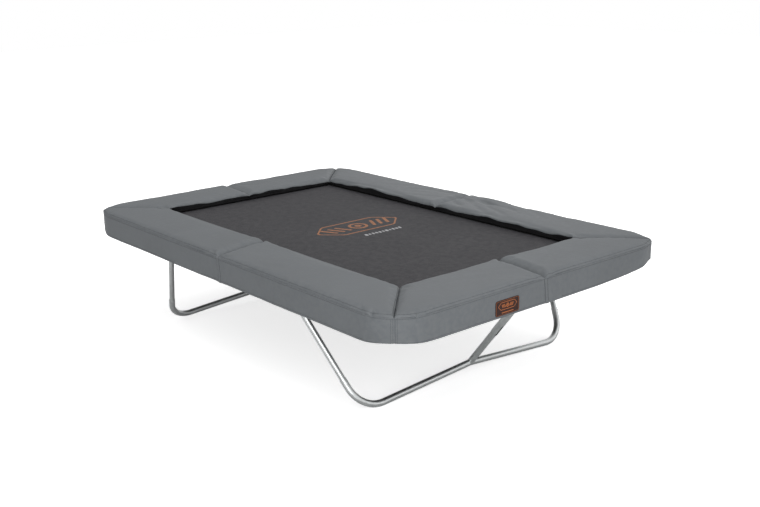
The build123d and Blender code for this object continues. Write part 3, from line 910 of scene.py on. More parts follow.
def skirt_mesh(arm):
    """A hanging skirt: a folded top edge tucked under the shoulder, the fall, and a turned hem."""
    shares = shares_along(arm)
    rows = []
    for share in shares:
        begin, end = arm.seam_line(SKIRT_FALL), arm.length(np.zeros_like(SKIRT_FALL))
        run = begin + share * (end - begin)
        out = skirt_offset(arm, run, SKIRT_FALL, begin, end)
        tuck = np.where(SKIRT_FALL == 0, 0.009, np.where(SKIRT_FALL < 0.004, 0.0035, 0.0))
        height = SEAM_Z - SKIRT_FALL * (SEAM_Z - SKIRT_BOTTOM - 0.001)
        height = height + np.where(SKIRT_FALL < 0.004, 0.0015, 0.0)
        rise = 0.018 * np.exp(-((end - run) / 0.16) ** 2)
        if arm.corner == "back_right":
            rise = rise + 0.034 * np.exp(-((end - run) / 0.42) ** 2)
        rise = rise * SKIRT_FALL ** 1.5
        rows.append(arm.place(run, tuck - out, height + rise))
    mesh = mesh_from(f"skirt_{arm.name}", np.concatenate(rows), grid_faces(len(shares), len(SKIRT_FALL)))
    piece = link(f"skirt_{arm.name}", mesh, finish_of("vinyl"))
    inward = sum(p.normal.dot(arm.outward) < 0 for p in mesh.polygons)
    if inward > len(mesh.polygons) / 2:
        mesh.flip_normals()
    wall = piece.modifiers.new("Wall", "SOLIDIFY")
    wall.thickness, wall.offset = SKIRT_THICKNESS, -1
    return subdivided(piece)


# Across the tape as a share of its width, and out from the skirt.
TAPE_SECTION = (
    (-0.5, -0.0004), (-0.5, 0.0018), (-0.25, 0.0026), (0.25, 0.0026), (0.5, 0.0018), (0.5, -0.0004))
# Depth short of the pad's inner edge, and height over its underside, round the flap of painted shade.
SHADE_FLAP_SECTION = (
    (0.007, 0.006), (0.004, 0.004), (0.004, -0.008), (0.0045, -0.0155),
    (0.0065, -0.0155), (0.0065, -0.008), (0.009, 0.004))


def tape_mesh(arm):
    """The binding tape that covers the seam between the two skirts of a side."""
    fall = np.linspace(0.03, 1, 24)
    begin = arm.seam_line(fall)
    columns = []
    for across, lift in TAPE_SECTION:
        run = begin + across * TAPE_WIDTH
        out = skirt_offset(arm, run, fall, begin, arm.length(np.zeros_like(fall)))
        height = SEAM_Z - fall * (SEAM_Z - SKIRT_BOTTOM - 0.0005)
        columns.append(arm.place(run, -(out + lift), height))
    return strip_through(f"tape_{arm.name}", columns)


def shade_flap_mesh(arm):
    """The black flap that closes the gap between a pad's inner edge and the mat: a sheet of painted shade in that
    gap.
    """
    run = np.linspace(0.0, 1.0, 90)
    columns = []
    for depth, height in SHADE_FLAP_SECTION:
        inset = PAD_WIDTH - depth
        begin, end = arm.start(inset), arm.length(np.array(inset))
        line = begin + run * (end - begin)
        wave = 0.0012 * np.sin(line * 31 + arm.seed) + 0.0008 * np.sin(line * 83)
        columns.append(arm.place(line, inset + wave * (height < 0), PAD_BOTTOM + height))
    return strip_through(f"flap_{arm.name}", columns)


# ---------------------------------------------------------------- stage and metal
class TRAMPOLINE_OT_stage(bpy.types.Operator):
    """Sets the floor, the soft studio light and the camera"""
    bl_idname = "trampoline.stage"
    bl_label = "Stage"

    def execute(self, context):
        stage = settings("stage")
        half = 30.0
        points = [(-half, -half, 0), (half, -half, 0), (half, half, 0), (-half, half, 0)]
        floor = link("floor", mesh_from("floor", points, [(0, 1, 2, 3)]), finish_of("floor"))

        world = bpy.data.worlds.new("studio")
        context.scene.world = world
        world.use_nodes = True
        shader = Shader(world.node_tree)
        direction = shader.add("ShaderNodeTexCoord").outputs["Generated"]
        facing = shader.add("ShaderNodeVectorMath", {0: direction, 1: (0.55, 0.25, 0.80)},
                            operation="DOT_PRODUCT").outputs["Value"]
        glow = shader.math("MULTIPLY", shader.span(facing, -0.2, 1.0, 0.44, 1.28), stage.sky)
        seen = shader.add("ShaderNodeLightPath").outputs["Is Camera Ray"]
        shader.put(world.node_tree.nodes["Background"].inputs["Strength"],
                   shader.math("MAXIMUM", glow, seen))
        world.node_tree.nodes["Background"].inputs["Color"].default_value = (1, 1, 1, 1)

        for name, place, size, power in (
            ("key_light", (0.0, -1.5, 6.5), 5.0, 40.0),
            ("corner_light", (5.5, -4.8, 1.7), 2.5, 114.0),
            ("back_light", (-4.5, 6.0, 3.0), 4.0, 18.0),
        ):
            light = bpy.data.lights.new(name, "AREA")
            light.shape, light.size, light.energy = "DISK", size, power
            lamp = bpy.data.objects.new(name, light)
            lamp.location = place
            lamp.rotation_euler = (-Vector(place) + Vector((0, 0, 0.7))).to_track_quat("-Z", "Y").to_euler()
            context.scene.collection.objects.link(lamp)

        context.scene.view_settings.view_transform = "Standard"
        azimuth, elevation, roll = stage.azimuth, stage.elevation, stage.roll
        back = Vector((math.sin(azimuth) * math.cos(elevation), -math.cos(azimuth) * math.cos(elevation),
                       math.sin(elevation)))
        level = Vector((math.cos(azimuth), math.sin(azimuth), 0))
        up = back.cross(level)
        right = level * math.cos(roll) + up * math.sin(roll)
        up = back.cross(right)
        lens = bpy.data.cameras.new("camera")
        lens.sensor_width, lens.lens = 36.0, stage.lens
        camera = bpy.data.objects.new("camera", lens)
        turned = Matrix((right, up, back)).transposed().to_4x4()
        camera.matrix_world = Matrix.Translation(stage.camera_place) @ turned
        context.scene.collection.objects.link(camera)
        context.scene.camera = camera
        return {"FINISHED"}


class TRAMPOLINE_OT_tubes(bpy.types.Operator):
    """Finishes the galvanised tubes, sockets, screws and buttons of the frame, and paints shade on the sockets'
    slits
    """
    bl_idname = "trampoline.tubes"
    bl_label = "Tubes and fittings"

    def execute(self, context):
        kinds = {
            "galvanised_steel": "tube_zinc", "fastener_steel": "screw_zinc", "button_steel": "button_metal",
            "spring_steel": "spring_zinc",
        }
        for row in frame["record"]["subparts"]:
            if row["material_slot"] in kinds:
                coat(row["node"], kinds[row["material_slot"]])
        # Near-black skins on the strut sockets' lower ends: painted shade for the slits there.
        for side in ("left", "right"):
            piece = link(f"socket_slit_shade_{side}", slit_shade_mesh(OUTWARD[side].x), finish_of("liner_and_shade"))
            carried(piece, "frame", "galvanised_steel")
        return {"FINISHED"}


SLIT_LENGTH, SLIT_WIDTH = 0.115, 0.013


def strut_socket(sign):
    """Lower end, upward direction and radius of a strut's socket, from its lowest ring of points."""
    points = np.array([v.co for v in frame["nodes"]["strut_sockets"].data.vertices])
    own = points[points[:, 0] * sign > 0]
    lowest = own[own[:, 2].argmin()]
    ring = np.unique(own[np.linalg.norm(own - lowest, axis=1) < 0.056].round(5), axis=0)
    end = Vector(ring.mean(0))
    radius = float(np.linalg.norm(ring - ring.mean(0), axis=1).max())
    return end, (Vector((sign * RAIL_X, 0, RAIL_Z)) - end).normalized(), radius


def slit_shade_mesh(sign):
    """A thin dark skin bent round the tube at a strut socket's lower end: painted shade for the slit there."""
    end, upward, radius = strut_socket(sign)
    facing = Vector((sign, -0.126, 0))
    facing = (facing - upward * facing.dot(upward)).normalized()
    sideways = upward.cross(facing)
    points = []
    for step in np.linspace(0, 1, 14):
        turns = np.linspace(-1, 1, 5) * SLIT_WIDTH / 2 / radius * math.sqrt(1.02 - step ** 10)
        for lift, row in ((0.0003, turns), (-0.0005, turns[::-1])):
            for turn in row:
                out = facing * math.cos(turn) + sideways * math.sin(turn)
                points.append(end + upward * (step * SLIT_LENGTH) + out * (radius + lift))
    return lofted("slit_shade", points, 10)


class TRAMPOLINE_OT_leaf_springs(bpy.types.Operator):
    """Bends the leaf springs inside the legs, which push the snap buttons out"""
    bl_idname = "trampoline.leaf_springs"
    bl_label = "Button springs"

    def execute(self, context):
        half_thick, half_wide, bend_r, tail = 0.0006, 0.004, 0.0035, 0.015
        for joint in frame["joints"]:
            if not joint["name"].startswith("button_press_"):
                continue
            node = joint["child"].replace("snap_button", "button_spring")
            outward = np.array(joint["axis"], float)
            button = np.array([v.co for v in frame["nodes"][joint["child"]].data.vertices]).mean(0)
            leaf = np.array([v.co for v in frame["nodes"][node].data.vertices])
            heights = leaf @ outward
            button += outward * (heights.max() - half_thick - button @ outward)
            up = leaf[heights < heights.min() + 0.002].mean(0) - button
            fall = -(up @ outward)
            up += outward * fall
            reach = np.linalg.norm(up)
            up /= reach
            across = np.cross(outward, up)
            line = [((a, 0.0), (0.0, 1.0)) for a in np.linspace(-tail, reach - bend_r, 16)]
            for turn in np.radians(np.linspace(15, 90, 6)):
                away = (math.sin(turn), math.cos(turn))
                line.append(((reach - bend_r + bend_r * away[0], bend_r * (away[1] - 1)), away))
            line += [((reach, b), (1.0, 0.0)) for b in np.linspace(-bend_r - 0.002, -fall, 8)]
            points = []
            for (a, b), (normal_a, normal_b) in line:
                for thick, wide in ((1, 1), (1, -1), (-1, -1), (-1, 1)):
                    spot = button + up * (a + thick * half_thick * normal_a)
                    spot = spot + outward * (b + thick * half_thick * normal_b)
                    points.append(spot + across * wide * half_wide)
            mesh = lofted(node, points, 4, smooth=False)
            piece = link(node.replace("button_spring", "leaf_spring"), mesh, finish_of("spring_zinc"))
            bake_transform(piece)
            stand_in(piece, "spring_steel", node)
        return {"FINISHED"}


def spring_tree():
    """One coil spring with its two hooks, set at every point of a mesh."""
    tree = Tree("Coil springs", {"Length": "Float", "Radius": "Float", "Wire": "Float", "Pitch": "Float",
                                 "Hook": "Float", "Turned": "Rotation", "Material": "Material"})
    given = tree.inputs
    turns = tree.math("DIVIDE", given["Length"], given["Pitch"])
    coil = tree.add("GeometryNodeCurveSpiral", {
        "Resolution": 8, "Rotations": turns, "Start Radius": given["Radius"], "End Radius": given["Radius"],
        "Height": given["Length"]})
    laid = tree.add("GeometryNodeTransform", {
        "Geometry": coil, "Rotation": (0, math.pi / 2, 0),
        "Translation": tree.vector(tree.math("MULTIPLY", given["Length"], -0.5), 0.0, 0.0)})
    pieces = [laid]
    for sign in (-1, 1):
        reach = tree.math("ADD", tree.math("MULTIPLY", given["Length"], 0.5 * sign),
                          tree.math("MULTIPLY", given["Hook"], sign))
        hook = tree.add("GeometryNodeCurveArc", {
            "Resolution": 14, "Radius": given["Hook"], "Start Angle": math.radians(25),
            "Sweep Angle": math.radians(300)})
        pieces.append(tree.add("GeometryNodeTransform", {
            "Geometry": hook, "Rotation": (math.pi / 2, 0, math.pi if sign > 0 else 0),
            "Translation": tree.vector(reach, 0.0, 0.0)}))
    profile = tree.add("GeometryNodeCurvePrimitiveCircle", {
        "Resolution": 5, "Radius": tree.math("MULTIPLY", given["Wire"], 0.5)})
    wire = tree.add("GeometryNodeCurveToMesh", {
        "Curve": tree.join(*pieces), "Profile Curve": profile, "Fill Caps": True})
    return tree.finish(given["Geometry"], wire, given["Turned"])


def ring_tree():
    """A triangular wire ring at every point of a mesh, its point away from the mat."""
    tree = Tree("Triangular rings", {"Size": "Float", "Wire": "Float", "Turned": "Rotation",
                                     "Material": "Material"})
    given = tree.inputs
    triangle = tree.add("GeometryNodeCurvePrimitiveCircle", {"Resolution": 3, "Radius": given["Size"]})
    rounded = tree.add("GeometryNodeFilletCurve", {
        "Curve": triangle, "Radius": tree.math("MULTIPLY", given["Size"], 0.2), "Count": 3}, mode="POLY")
    profile = tree.add("GeometryNodeCurvePrimitiveCircle", {
        "Resolution": 6, "Radius": tree.math("MULTIPLY", given["Wire"], 0.5)})
    wire = tree.add("GeometryNodeCurveToMesh", {"Curve": rounded, "Profile Curve": profile})
    return tree.finish(given["Geometry"], wire, given["Turned"])


def stitch_tree():
    """Short stitches along the edges of a mesh."""
    tree = Tree("Stitches", {"Pitch": "Float", "Length": "Float", "Thickness": "Float",
                             "Material": "Material"})
    given = tree.inputs
    path = tree.add("GeometryNodeMeshToCurve", {"Mesh": given["Geometry"]})
    spaced = tree.add("GeometryNodeResampleCurve", {"Curve": path, "Length": given["Pitch"]}, mode="LENGTH")
    stitch = tree.add("GeometryNodeMeshCylinder", {
        "Vertices": 5, "Radius": given["Thickness"], "Depth": given["Length"]})
    tangent = tree.add("GeometryNodeInputTangent", {})
    turned = tree.add("FunctionNodeAlignRotationToVector", {"Vector": tangent}, axis="Z")
    return tree.finish(spaced, stitch, turned)


TREES = {}


def stitched(name, paths, pitch, share, thickness, thread):
    """Stitches along paths; share is how much of the pitch a stitch fills."""
    if "stitches" not in TREES:
        TREES["stitches"] = stitch_tree()
    return grow(name, path_mesh("seams", paths), TREES["stitches"], {
        "Pitch": pitch, "Length": pitch * share, "Thickness": thickness, "Material": finish_of(thread)})


def path_mesh(name, paths):
    """A mesh of open lines, one for each list of points; a list of one is a lone point."""
    points, edges = [], []
    for path in paths:
        first = len(points)
        points += [tuple(p) for p in path]
        edges += [(first + i, first + i + 1) for i in range(len(path) - 1)]
    mesh = bpy.data.meshes.new(name)
    mesh.from_pydata(points, edges, [])
    return mesh


def turned_outwards(side):
    """Turn about Z, in radians, that takes +X to a side's outward direction."""
    outward = OUTWARD[side]
    return (0.0, 0.0, math.atan2(outward.y, outward.x))


class TRAMPOLINE_OT_springs(bpy.types.Operator):
    """Winds the coil springs and bends the triangular rings on every side of the mat"""
    bl_idname = "trampoline.springs"
    bl_label = "Springs and rings"

    def execute(self, context):
        spring = settings("springs")
        coils, rings = spring_tree(), ring_tree()
        for side in SIDES:
            outward = np.array(OUTWARD[side])
            boxes = solid_boxes(f"springs_{side}")
            total = abs((boxes[0][1] - boxes[0][0]) @ outward)
            centres = [(low + high) / 2 * [1, 1, 0] + [0, 0, high[2] - spring.coil / 2]
                       for low, high in boxes]
            hook = (spring.coil / 2 - spring.wire / 2) * 0.82
            piece = grow(f"coil_springs_{side}", path_mesh("springs", [[p] for p in centres]), coils, {
                "Length": total - 4 * hook, "Radius": spring.coil / 2 - spring.wire / 2,
                "Wire": spring.wire, "Pitch": spring.pitch, "Hook": hook,
                "Turned": turned_outwards(side), "Material": finish_of("spring_zinc")})
            sloped(piece, side, "spring_steel", f"springs_{side}")

            boxes = solid_boxes(f"v_rings_{side}")
            length = abs((boxes[0][1] - boxes[0][0]) @ outward)
            inner = [(low + high) / 2 - outward * length * 0.17 for low, high in boxes]
            piece = grow(f"triangle_rings_{side}", path_mesh("rings", [[p] for p in inner]), rings, {
                "Size": length * 0.72, "Wire": spring.wire * 1.1, "Turned": turned_outwards(side),
                "Material": finish_of("spring_zinc")})
            sloped(piece, side, "spring_steel", f"v_rings_{side}")
        return {"FINISHED"}


def outline_of_mat(side, shares):
    """Points on the mat's rounded outer edge on one side, from one corner's middle to the other's."""
    outward = OUTWARD[side]
    sideways = Vector((0, 0, 1)).cross(outward)
    edge = MAT_HIGH.x if outward.x else MAT_HIGH.y
    half = MAT_HIGH.y if outward.x else MAT_HIGH.x
    straight = half - MAT_CORNER_R
    total = straight + MAT_CORNER_R * math.pi / 4
    points = []
    for share in shares:
        run = abs(share) * total
        turn = max(run - straight, 0) / MAT_CORNER_R
        a = min(run, straight) + MAT_CORNER_R * math.sin(turn)
        b = edge - MAT_CORNER_R * (1 - math.cos(turn))
        points.append(sideways * math.copysign(a, share) + outward * b)
    return points


def slab(name, rows, columns, points, thickness):
    """A thin closed slab under a grid of points."""
    points = np.asarray(points, float).reshape(rows * columns, 3)
    below = points - [0, 0, thickness]
    count = len(points)
    faces = grid_faces(rows, columns)
    faces += [tuple(reversed([i + count for i in face])) for face in grid_faces(rows, columns)]
    rim = list(range(columns))
    rim += [i * columns + columns - 1 for i in range(1, rows)]
    rim += [(rows - 1) * columns + j for j in range(columns - 2, -1, -1)]
    rim += [i * columns for i in range(rows - 2, 0, -1)]
    faces += [(rim[i], rim[(i + 1) % len(rim)], rim[(i + 1) % len(rim)] + count, rim[i] + count)
              for i in range(len(rim))]
    mesh = mesh_from(name, np.concatenate([points, below]), faces, smooth=False)
    face_outwards(mesh)
    return mesh


MAT_THICKNESS = 0.002
HEM_WIDTH = 0.058
HEM_SEAMS = (0.006, 0.013, 0.045, 0.052)   # how far in from the mat's edge


class TRAMPOLINE_OT_mat(bpy.types.Operator):
    """Weaves the jumping mat: a middle that moves as one and four sides, with a webbing hem"""
    bl_idname = "trampoline.mat"
    bl_label = "Jumping mat"

    def execute(self, context):
        top = MAT_HIGH.z
        across = np.linspace(-1, 1, 9)
        middle = [(STILL_X * x, STILL_Y * y, top) for y in across for x in across]
        piece = link("mat_middle", slab("mat_middle", 9, 9, middle, MAT_THICKNESS), finish_of("mat"))
        carried(piece, "mat", "mat_fabric", "jump_mat")
        for side in SIDES:
            outward = OUTWARD[side]
            sideways = Vector((0, 0, 1)).cross(outward)
            still, half = (STILL_X, STILL_Y) if outward.x else (STILL_Y, STILL_X)
            shares = np.linspace(-1, 1, 61)
            outer = outline_of_mat(side, shares)
            inner = [sideways * (half * s) + outward * still for s in shares]
            steps = np.linspace(0, 1, 15)
            points = [[*(b.lerp(a, s)).xy, top] for s in steps for a, b in zip(outer, inner)]
            mesh = slab(f"mat_{side}", len(steps), len(shares), points, MAT_THICKNESS)
            piece = link(f"mat_{side}", mesh, finish_of("mat"))
            sloped(piece, side, "mat_fabric", "jump_mat")

            strip = []
            for step in np.linspace(0, 1, 4):
                inset = 0.001 + HEM_WIDTH * step
                strip += [[*(p - p.normalized() * inset).xy, top - MAT_THICKNESS - 0.0002] for p in outer]
            mesh = slab(f"hem_{side}", 4, len(shares), strip, 0.0022)
            piece = link(f"hem_webbing_{side}", mesh, finish_of("webbing"))
            sloped(piece, side, "webbing", "mat_hem")

            paths = [[[*(p - p.normalized() * inset).xy, top + 0.0002] for p in outer]
                     for inset in HEM_SEAMS]
            piece = stitched(f"hem_stitches_{side}", paths, 0.010, 0.7, 0.0005, "mat_thread")
            sloped(piece, side, "webbing")
        return {"FINISHED"}


# ---------------------------------------------------------------- print and badge
def six_sided(width, height):
    """A long six-sided outline with rounded points."""
    tip = height / 2
    corners = [(-width / 2, 0), (-width / 2 + tip, tip), (width / 2 - tip, tip), (width / 2, 0),
               (width / 2 - tip, -tip), (-width / 2 + tip, -tip)]
    points = []
    for i, corner in enumerate(corners):
        corner = Vector(corner)
        before, after = Vector(corners[i - 1]), Vector(corners[(i + 1) % 6])
        a = corner + (before - corner).normalized() * tip * 0.22
        b = corner + (after - corner).normalized() * tip * 0.22
        for t in np.linspace(0, 1, 7):
            points.append(a * (1 - t) ** 2 + corner * 2 * t * (1 - t) + b * t ** 2)
    return points


def circle_points(radius, count=56):
    return [Vector((radius * math.cos(a), radius * math.sin(a)))
            for a in np.linspace(0, 2 * math.pi, count, endpoint=False)]


def slanted_bar(centre, width, height, lean):
    """A bar with rounded ends, leaning by an angle."""
    points = []
    for end in (1, -1):
        for a in np.linspace(0, math.pi, 9):
            points.append(Vector((width / 2 * math.cos(a) * end, (height - width) / 2 * end
                                  + width / 2 * math.sin(a) * end)))
    turn = Matrix.Rotation(lean, 2)
    return [turn @ p + Vector(centre) for p in points]


def motif(width, height, line):
    """Plain sports motif as (outer, inner) outlines: a ring between two fans of bars, in a long outline."""
    shapes = [(six_sided(width, height), six_sided(width - 2.3 * line, height - 2 * line))]
    radius = height * 0.26
    shapes.append((circle_points(radius), circle_points(radius - 1.4 * line)))
    shapes.append((circle_points(radius * 0.36), None))
    for step in (1, 2, 3):
        for sign in (-1, 1):
            centre = (sign * (radius + step * height * 0.22), 0)
            shapes.append((slanted_bar(centre, 1.6 * line, height * 0.5, math.radians(-25 * sign)), None))
    return shapes


def raised(name, shapes, place, thickness):
    """Flat shapes as thin raised plates; place is a matrix whose Z is the direction that they rise in."""
    points, faces = [], []
    for outer, inner in shapes:
        first = len(points)
        count = len(outer)
        if inner is None:
            for height in (0, thickness):
                points += [(p.x, p.y, height) for p in outer]
            faces.append([first + i for i in range(count)][::-1])
            faces.append([first + count + i for i in range(count)])
            for i in range(count):
                j = (i + 1) % count
                faces.append((first + i, first + j, first + count + j, first + count + i))
            continue
        for loop, height in ((outer, 0), (outer, thickness), (inner, thickness), (inner, 0)):
            points += [(p.x, p.y, height) for p in loop]
        for ring in range(4):
            a, b = first + ring * count, first + (ring + 1) % 4 * count
            for i in range(count):
                j = (i + 1) % count
                faces.append((a + i, a + j, b + j, b + i))
    mesh = mesh_from(name, [place @ Vector(p) for p in points], faces, smooth=False)
    face_outwards(mesh)
    return mesh


PRINT_LINE, INK_THICKNESS = 0.018, 0.0003
TICK_COUNT = 11


class TRAMPOLINE_OT_print(bpy.types.Operator):
    """Prints the plain sports motif on the middle of the mat"""
    bl_idname = "trampoline.print"
    bl_label = "Mat print"

    def execute(self, context):
        quarter_turn = Matrix.Rotation(math.pi / 2, 4, "Z")
        low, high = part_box("mat_print")
        boxes = solid_boxes("mat_print")
        bar_low, bar_high = max(boxes, key=lambda box: box[1][0])
        motif_high = max(box[1][0] for box in boxes if box[1][0] < bar_low[0])
        width, height = high.y - low.y, motif_high - low.x
        centre = Vector(((low.x + motif_high) / 2, (low.y + high.y) / 2, MAT_HIGH.z))
        place = Matrix.Translation(centre) @ quarter_turn
        mesh = raised("print", motif(width, height, PRINT_LINE), place, INK_THICKNESS)
        piece = link("print_motif", mesh, finish_of("print_main"))
        carried(piece, "mat", "print_ink", "mat_print")
        size = bar_high - bar_low
        count = TICK_COUNT
        step = (size[1] - size[0] * 0.6) / (count - 1)
        ticks = [(slanted_bar(((i - (count - 1) / 2) * step, 0), size[0] * (0.48 if i % 3 else 0.66),
                              size[0] * (0.92 if i % 2 else 1.2), math.radians(-16)), None)
                 for i in range(count)]
        centre = Vector((*((bar_low + bar_high) / 2)[:2], MAT_HIGH.z))
        mesh = raised("print_bar", ticks, Matrix.Translation(centre) @ quarter_turn, INK_THICKNESS)
        piece = link("print_ticks", mesh, finish_of("print_light"))
        carried(piece, "mat", "print_ink", "mat_print")
        return {"FINISHED"}


def rounded_plate(width, height, radius):
    points = []
    for cx, cy, begin in ((1, 1, 0), (-1, 1, 90), (-1, -1, 180), (1, -1, 270)):
        for a in np.radians(np.linspace(begin, begin + 90, 9)):
            points.append(Vector((cx * (width / 2 - radius) + radius * math.cos(a),
                                  cy * (height / 2 - radius) + radius * math.sin(a))))
    return points


BADGE_THICKNESS, BADGE_RELIEF, BADGE_LINE = 0.0040, 0.0005, 0.0032


class TRAMPOLINE_OT_badge(bpy.types.Operator):
    """Sews the badge on the right-hand skirt"""
    bl_idname = "trampoline.badge"
    bl_label = "Badge"

    def execute(self, context):
        low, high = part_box("badge")
        width, height = high.y - low.y, (high.z - low.z) * 0.88
        centre = (low + high) / 2 - Vector((0, 0, 0.004))
        turned = Matrix(((0, 0, 1), (1, 0, 0), (0, 1, 0))).to_4x4()
        place = Matrix.Translation((high.x + 0.0012, centre.y, centre.z)) @ turned
        plate = raised("badge", [(rounded_plate(width, height, 0.017), None)],
                       Matrix.Translation((-BADGE_THICKNESS, 0, 0)) @ place, BADGE_THICKNESS)
        piece = link("badge_plate", plate, finish_of("badge"))
        bevel = piece.modifiers.new("Soft edge", "BEVEL")
        bevel.width, bevel.segments, bevel.limit_method = 0.0008, 2, "ANGLE"
        carried(piece, "frame", "badge_vinyl", "badge")
        border = [(rounded_plate(width - 0.010, height - 0.010, 0.012),
                   rounded_plate(width - 0.0125, height - 0.0125, 0.0108))]
        strip = [(slanted_bar((0, -height * 0.33), 0.005, width * 0.5, math.pi / 2), None)]
        lifted = Matrix.Translation((0, 0, height * 0.10)) @ place
        for name, shapes, where in (
            ("badge_border", border, place),
            ("badge_motif", motif(width * 0.80, height * 0.50, BADGE_LINE), lifted),
            ("badge_strip", strip, place),
        ):
            piece = link(name, raised(name, shapes, where, BADGE_RELIEF), finish_of("badge_print"))
            carried(piece, "frame", "print_ink")
        return {"FINISHED"}


# ---------------------------------------------------------------- padding operators
THREAD_LIFT = 0.0003
SEAM_SHARES = np.linspace(0.004, 0.996, 160)


def snapped(paths, piece):
    """Moves path points on to a piece's surface and a little off it."""
    tree = BVHTree.FromPolygons([v.co for v in piece.data.vertices],
                                [tuple(p.vertices) for p in piece.data.polygons])
    moved = []
    for path in paths:
        hits = [tree.find_nearest(Vector(point)) for point in path]
        moved.append([hit[0] + hit[1] * THREAD_LIFT for hit in hits])
    return moved


def skirt_seams(arm):
    """Stitch paths on a skirt: below its top, above its hem, beside the mitre and beside the tape."""
    begin, end = arm.start(0.0), arm.length(np.array(0.0))
    run = begin + SEAM_SHARES * (end - begin)
    rows = [arm.place(run, 0.0, height)
            for height in (SEAM_Z - 0.008, SKIRT_BOTTOM + HEM_HEIGHT - 0.004)]
    down = np.linspace(SEAM_Z - 0.012, SKIRT_BOTTOM + 0.004, 14)
    rows += [arm.place(end - beside, 0.0, down) for beside in (0.007, 0.020)]
    fall = np.linspace(0.07, 0.98, 14)
    beside = arm.seam_line(fall) + TAPE_WIDTH / 2 + 0.003
    rows.append(arm.place(beside, 0.0, SEAM_Z - fall * (SEAM_Z - SKIRT_BOTTOM)))
    return rows


def pad_seams(arm):
    """Stitch paths on a pad: beside the mitre, and along the outer edge of its top."""
    depth = np.linspace(0.026, PAD_WIDTH - 0.012, 40)
    across = arm.place(arm.length(depth) - 0.010, depth, PAD_TOP)
    edge_run = arm.start(0.0) + SEAM_SHARES * (arm.length(np.array(0.012)) - arm.start(0.0))
    return [across, arm.place(edge_run, 0.012, PAD_TOP)]


class TRAMPOLINE_OT_pads(bpy.types.Operator):
    """Stuffs the eight pads, hangs their skirts and sews their seams"""
    bl_idname = "trampoline.pads"
    bl_label = "Pads and skirts"

    def execute(self, context):
        pitch = settings("pads").stitch_pitch
        for arm in ARMS:
            mesh, held, column, count = pad_mesh(arm)
            pad = link(f"cushion_{arm.name}", mesh, finish_of("vinyl"), finish_of("liner_and_shade"))
            dark = [int(min(column[v] for v in p.vertices) >= count - LINER_ROWS
                        and max(column[v] for v in p.vertices) > count - LINER_ROWS)
                    for p in mesh.polygons]
            mesh.polygons.foreach_set("material_index", dark)
            inflate(pad, held, SWELL_CAP, arm)
            subdivided(pad)
            tailored(pad, arm)
            carried(pad, "frame", "pad_vinyl", f"pad_{arm.name}", "pad_foam")

            skirt = skirt_mesh(arm)
            flat = (float(arm.length(np.array(0.0)) - arm.start(0.0)), SEAM_Z - SKIRT_BOTTOM + 0.01)
            carried(skirt, "frame", "pad_vinyl", f"pad_{arm.name}")

            # A near-black flap of painted shade fills the gap between the pad's inner edge and the mat.
            shade_flap = link(f"flap_{arm.name}", shade_flap_mesh(arm), finish_of("liner_and_shade"))
            carried(shade_flap, "frame", "pad_vinyl")
            if arm.toward > 0:
                tape = link(f"seam_tape_{arm.side}", tape_mesh(arm), finish_of("vinyl"))
                carried(tape, "frame", "pad_vinyl")

            seams = snapped(skirt_seams(arm), skirt) + snapped(pad_seams(arm), pad)
            piece = stitched(f"seam_stitches_{arm.name}", seams, pitch, 0.65, 0.0009, "cover_thread")
            carried(piece, "frame", "pad_vinyl")
        return {"FINISHED"}


STRAP_THICKNESS = 0.0014


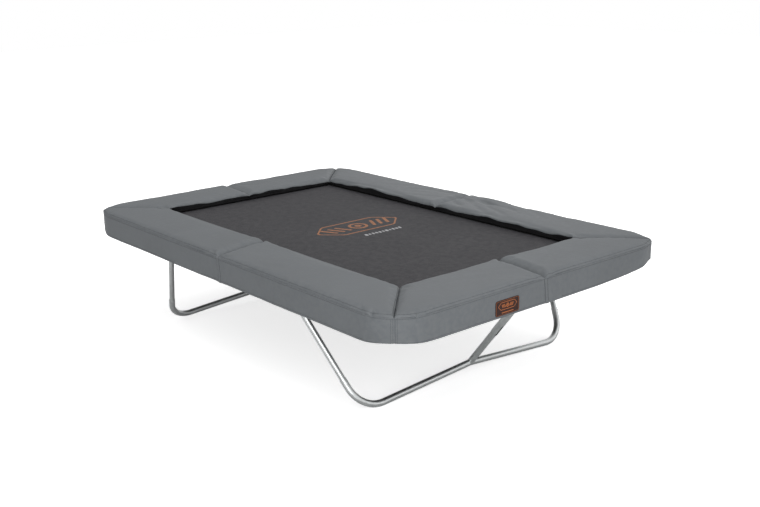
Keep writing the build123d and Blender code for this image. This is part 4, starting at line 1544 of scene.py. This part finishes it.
class TRAMPOLINE_OT_straps(bpy.types.Operator):
    """Loops the elastic straps round the rails"""
    bl_idname = "trampoline.straps"
    bl_label = "Straps"

    def execute(self, context):
        points, faces = [], []
        for low, high in solid_boxes("pad_straps"):
            middle = (low + high) / 2
            size = high - low
            along = np.array([1, 0, 0]) if size[0] < size[1] else np.array([0, 1, 0])
            across = np.array([along[1], along[0], 0])
            half = min(size[0], size[1]) / 2
            centre = np.array([middle[0], middle[1], RAIL_Z])
            loop = []
            radius = RAIL_R + STRAP_THICKNESS
            for angle in np.radians(np.linspace(112, 428, 30)):
                loop.append((radius * math.cos(angle), radius * math.sin(angle)))
            neck = high[2] - RAIL_Z - 0.0004
            loop += [(0.0065, neck - 0.004), (0.006, neck), (-0.006, neck), (-0.0065, neck - 0.004)]
            first, count = len(points), len(loop)
            for side in (-half, half):
                for swell in (0.0, STRAP_THICKNESS):
                    for a, b in loop:
                        reach = math.hypot(a, b)
                        grown = (reach - swell) / reach
                        spot = centre + along * side + across * a * grown
                        points.append(spot + np.array([0, 0, b * grown]))
            outer0, inner0, outer1, inner1 = (first + k * count for k in range(4))
            for i in range(count):
                j = (i + 1) % count
                for a, b in ((outer0, outer1), (outer1, inner1), (inner1, inner0), (inner0, outer0)):
                    faces.append((a + i, a + j, b + j, b + i))
        mesh = mesh_from("straps", points, faces)
        face_outwards(mesh)
        piece = link("elastic_straps", mesh, finish_of("webbing"))
        carried(piece, "frame", "webbing", "pad_straps")
        return {"FINISHED"}


class TRAMPOLINE_PT_panel(bpy.types.Panel):
    """Lists the steps that build the trampoline"""
    bl_idname = "TRAMPOLINE_PT_panel"
    bl_label = "Trampoline"
    bl_space_type = "VIEW_3D"
    bl_region_type = "UI"
    bl_category = "Trampoline"

    def draw(self, context):
        for kind in SETTING_KINDS:
            box = self.layout.box()
            for name in SETTING_KINDS[kind].__annotations__:
                box.prop(settings(kind), name)
        for operator in OPERATORS:
            self.layout.operator(operator.bl_idname)


SETTING_KINDS = {
    "pads": TrampolinePadSettings,
    "mat": TrampolineMatSettings,
    "springs": TrampolineSpringSettings,
    "metal": TrampolineMetalSettings,
    "stage": TrampolineStageSettings,
}
OPERATORS = (
    TRAMPOLINE_OT_stage, TRAMPOLINE_OT_tubes, TRAMPOLINE_OT_leaf_springs, TRAMPOLINE_OT_springs,
    TRAMPOLINE_OT_mat, TRAMPOLINE_OT_print, TRAMPOLINE_OT_pads, TRAMPOLINE_OT_badge,
    TRAMPOLINE_OT_straps,
)


def register():
    for kind, group in SETTING_KINDS.items():
        bpy.utils.register_class(group)
        setattr(bpy.types.Scene, "trampoline_" + kind, bpy.props.PointerProperty(type=group))
    for operator in OPERATORS:
        bpy.utils.register_class(operator)
    bpy.utils.register_class(TRAMPOLINE_PT_panel)


def unregister():
    bpy.utils.unregister_class(TRAMPOLINE_PT_panel)
    for operator in reversed(OPERATORS):
        bpy.utils.unregister_class(operator)
    for kind, group in SETTING_KINDS.items():
        delattr(bpy.types.Scene, "trampoline_" + kind)
        bpy.utils.unregister_class(group)


def main():
    register()
    bpy.ops.trampoline.stage()
    bpy.ops.trampoline.tubes()
    bpy.ops.trampoline.leaf_springs()
    bpy.ops.trampoline.springs()
    bpy.ops.trampoline.mat()
    bpy.ops.trampoline.print()
    bpy.ops.trampoline.pads()
    bpy.ops.trampoline.badge()
    bpy.ops.trampoline.straps()


if __name__ == "__main__":
    main()
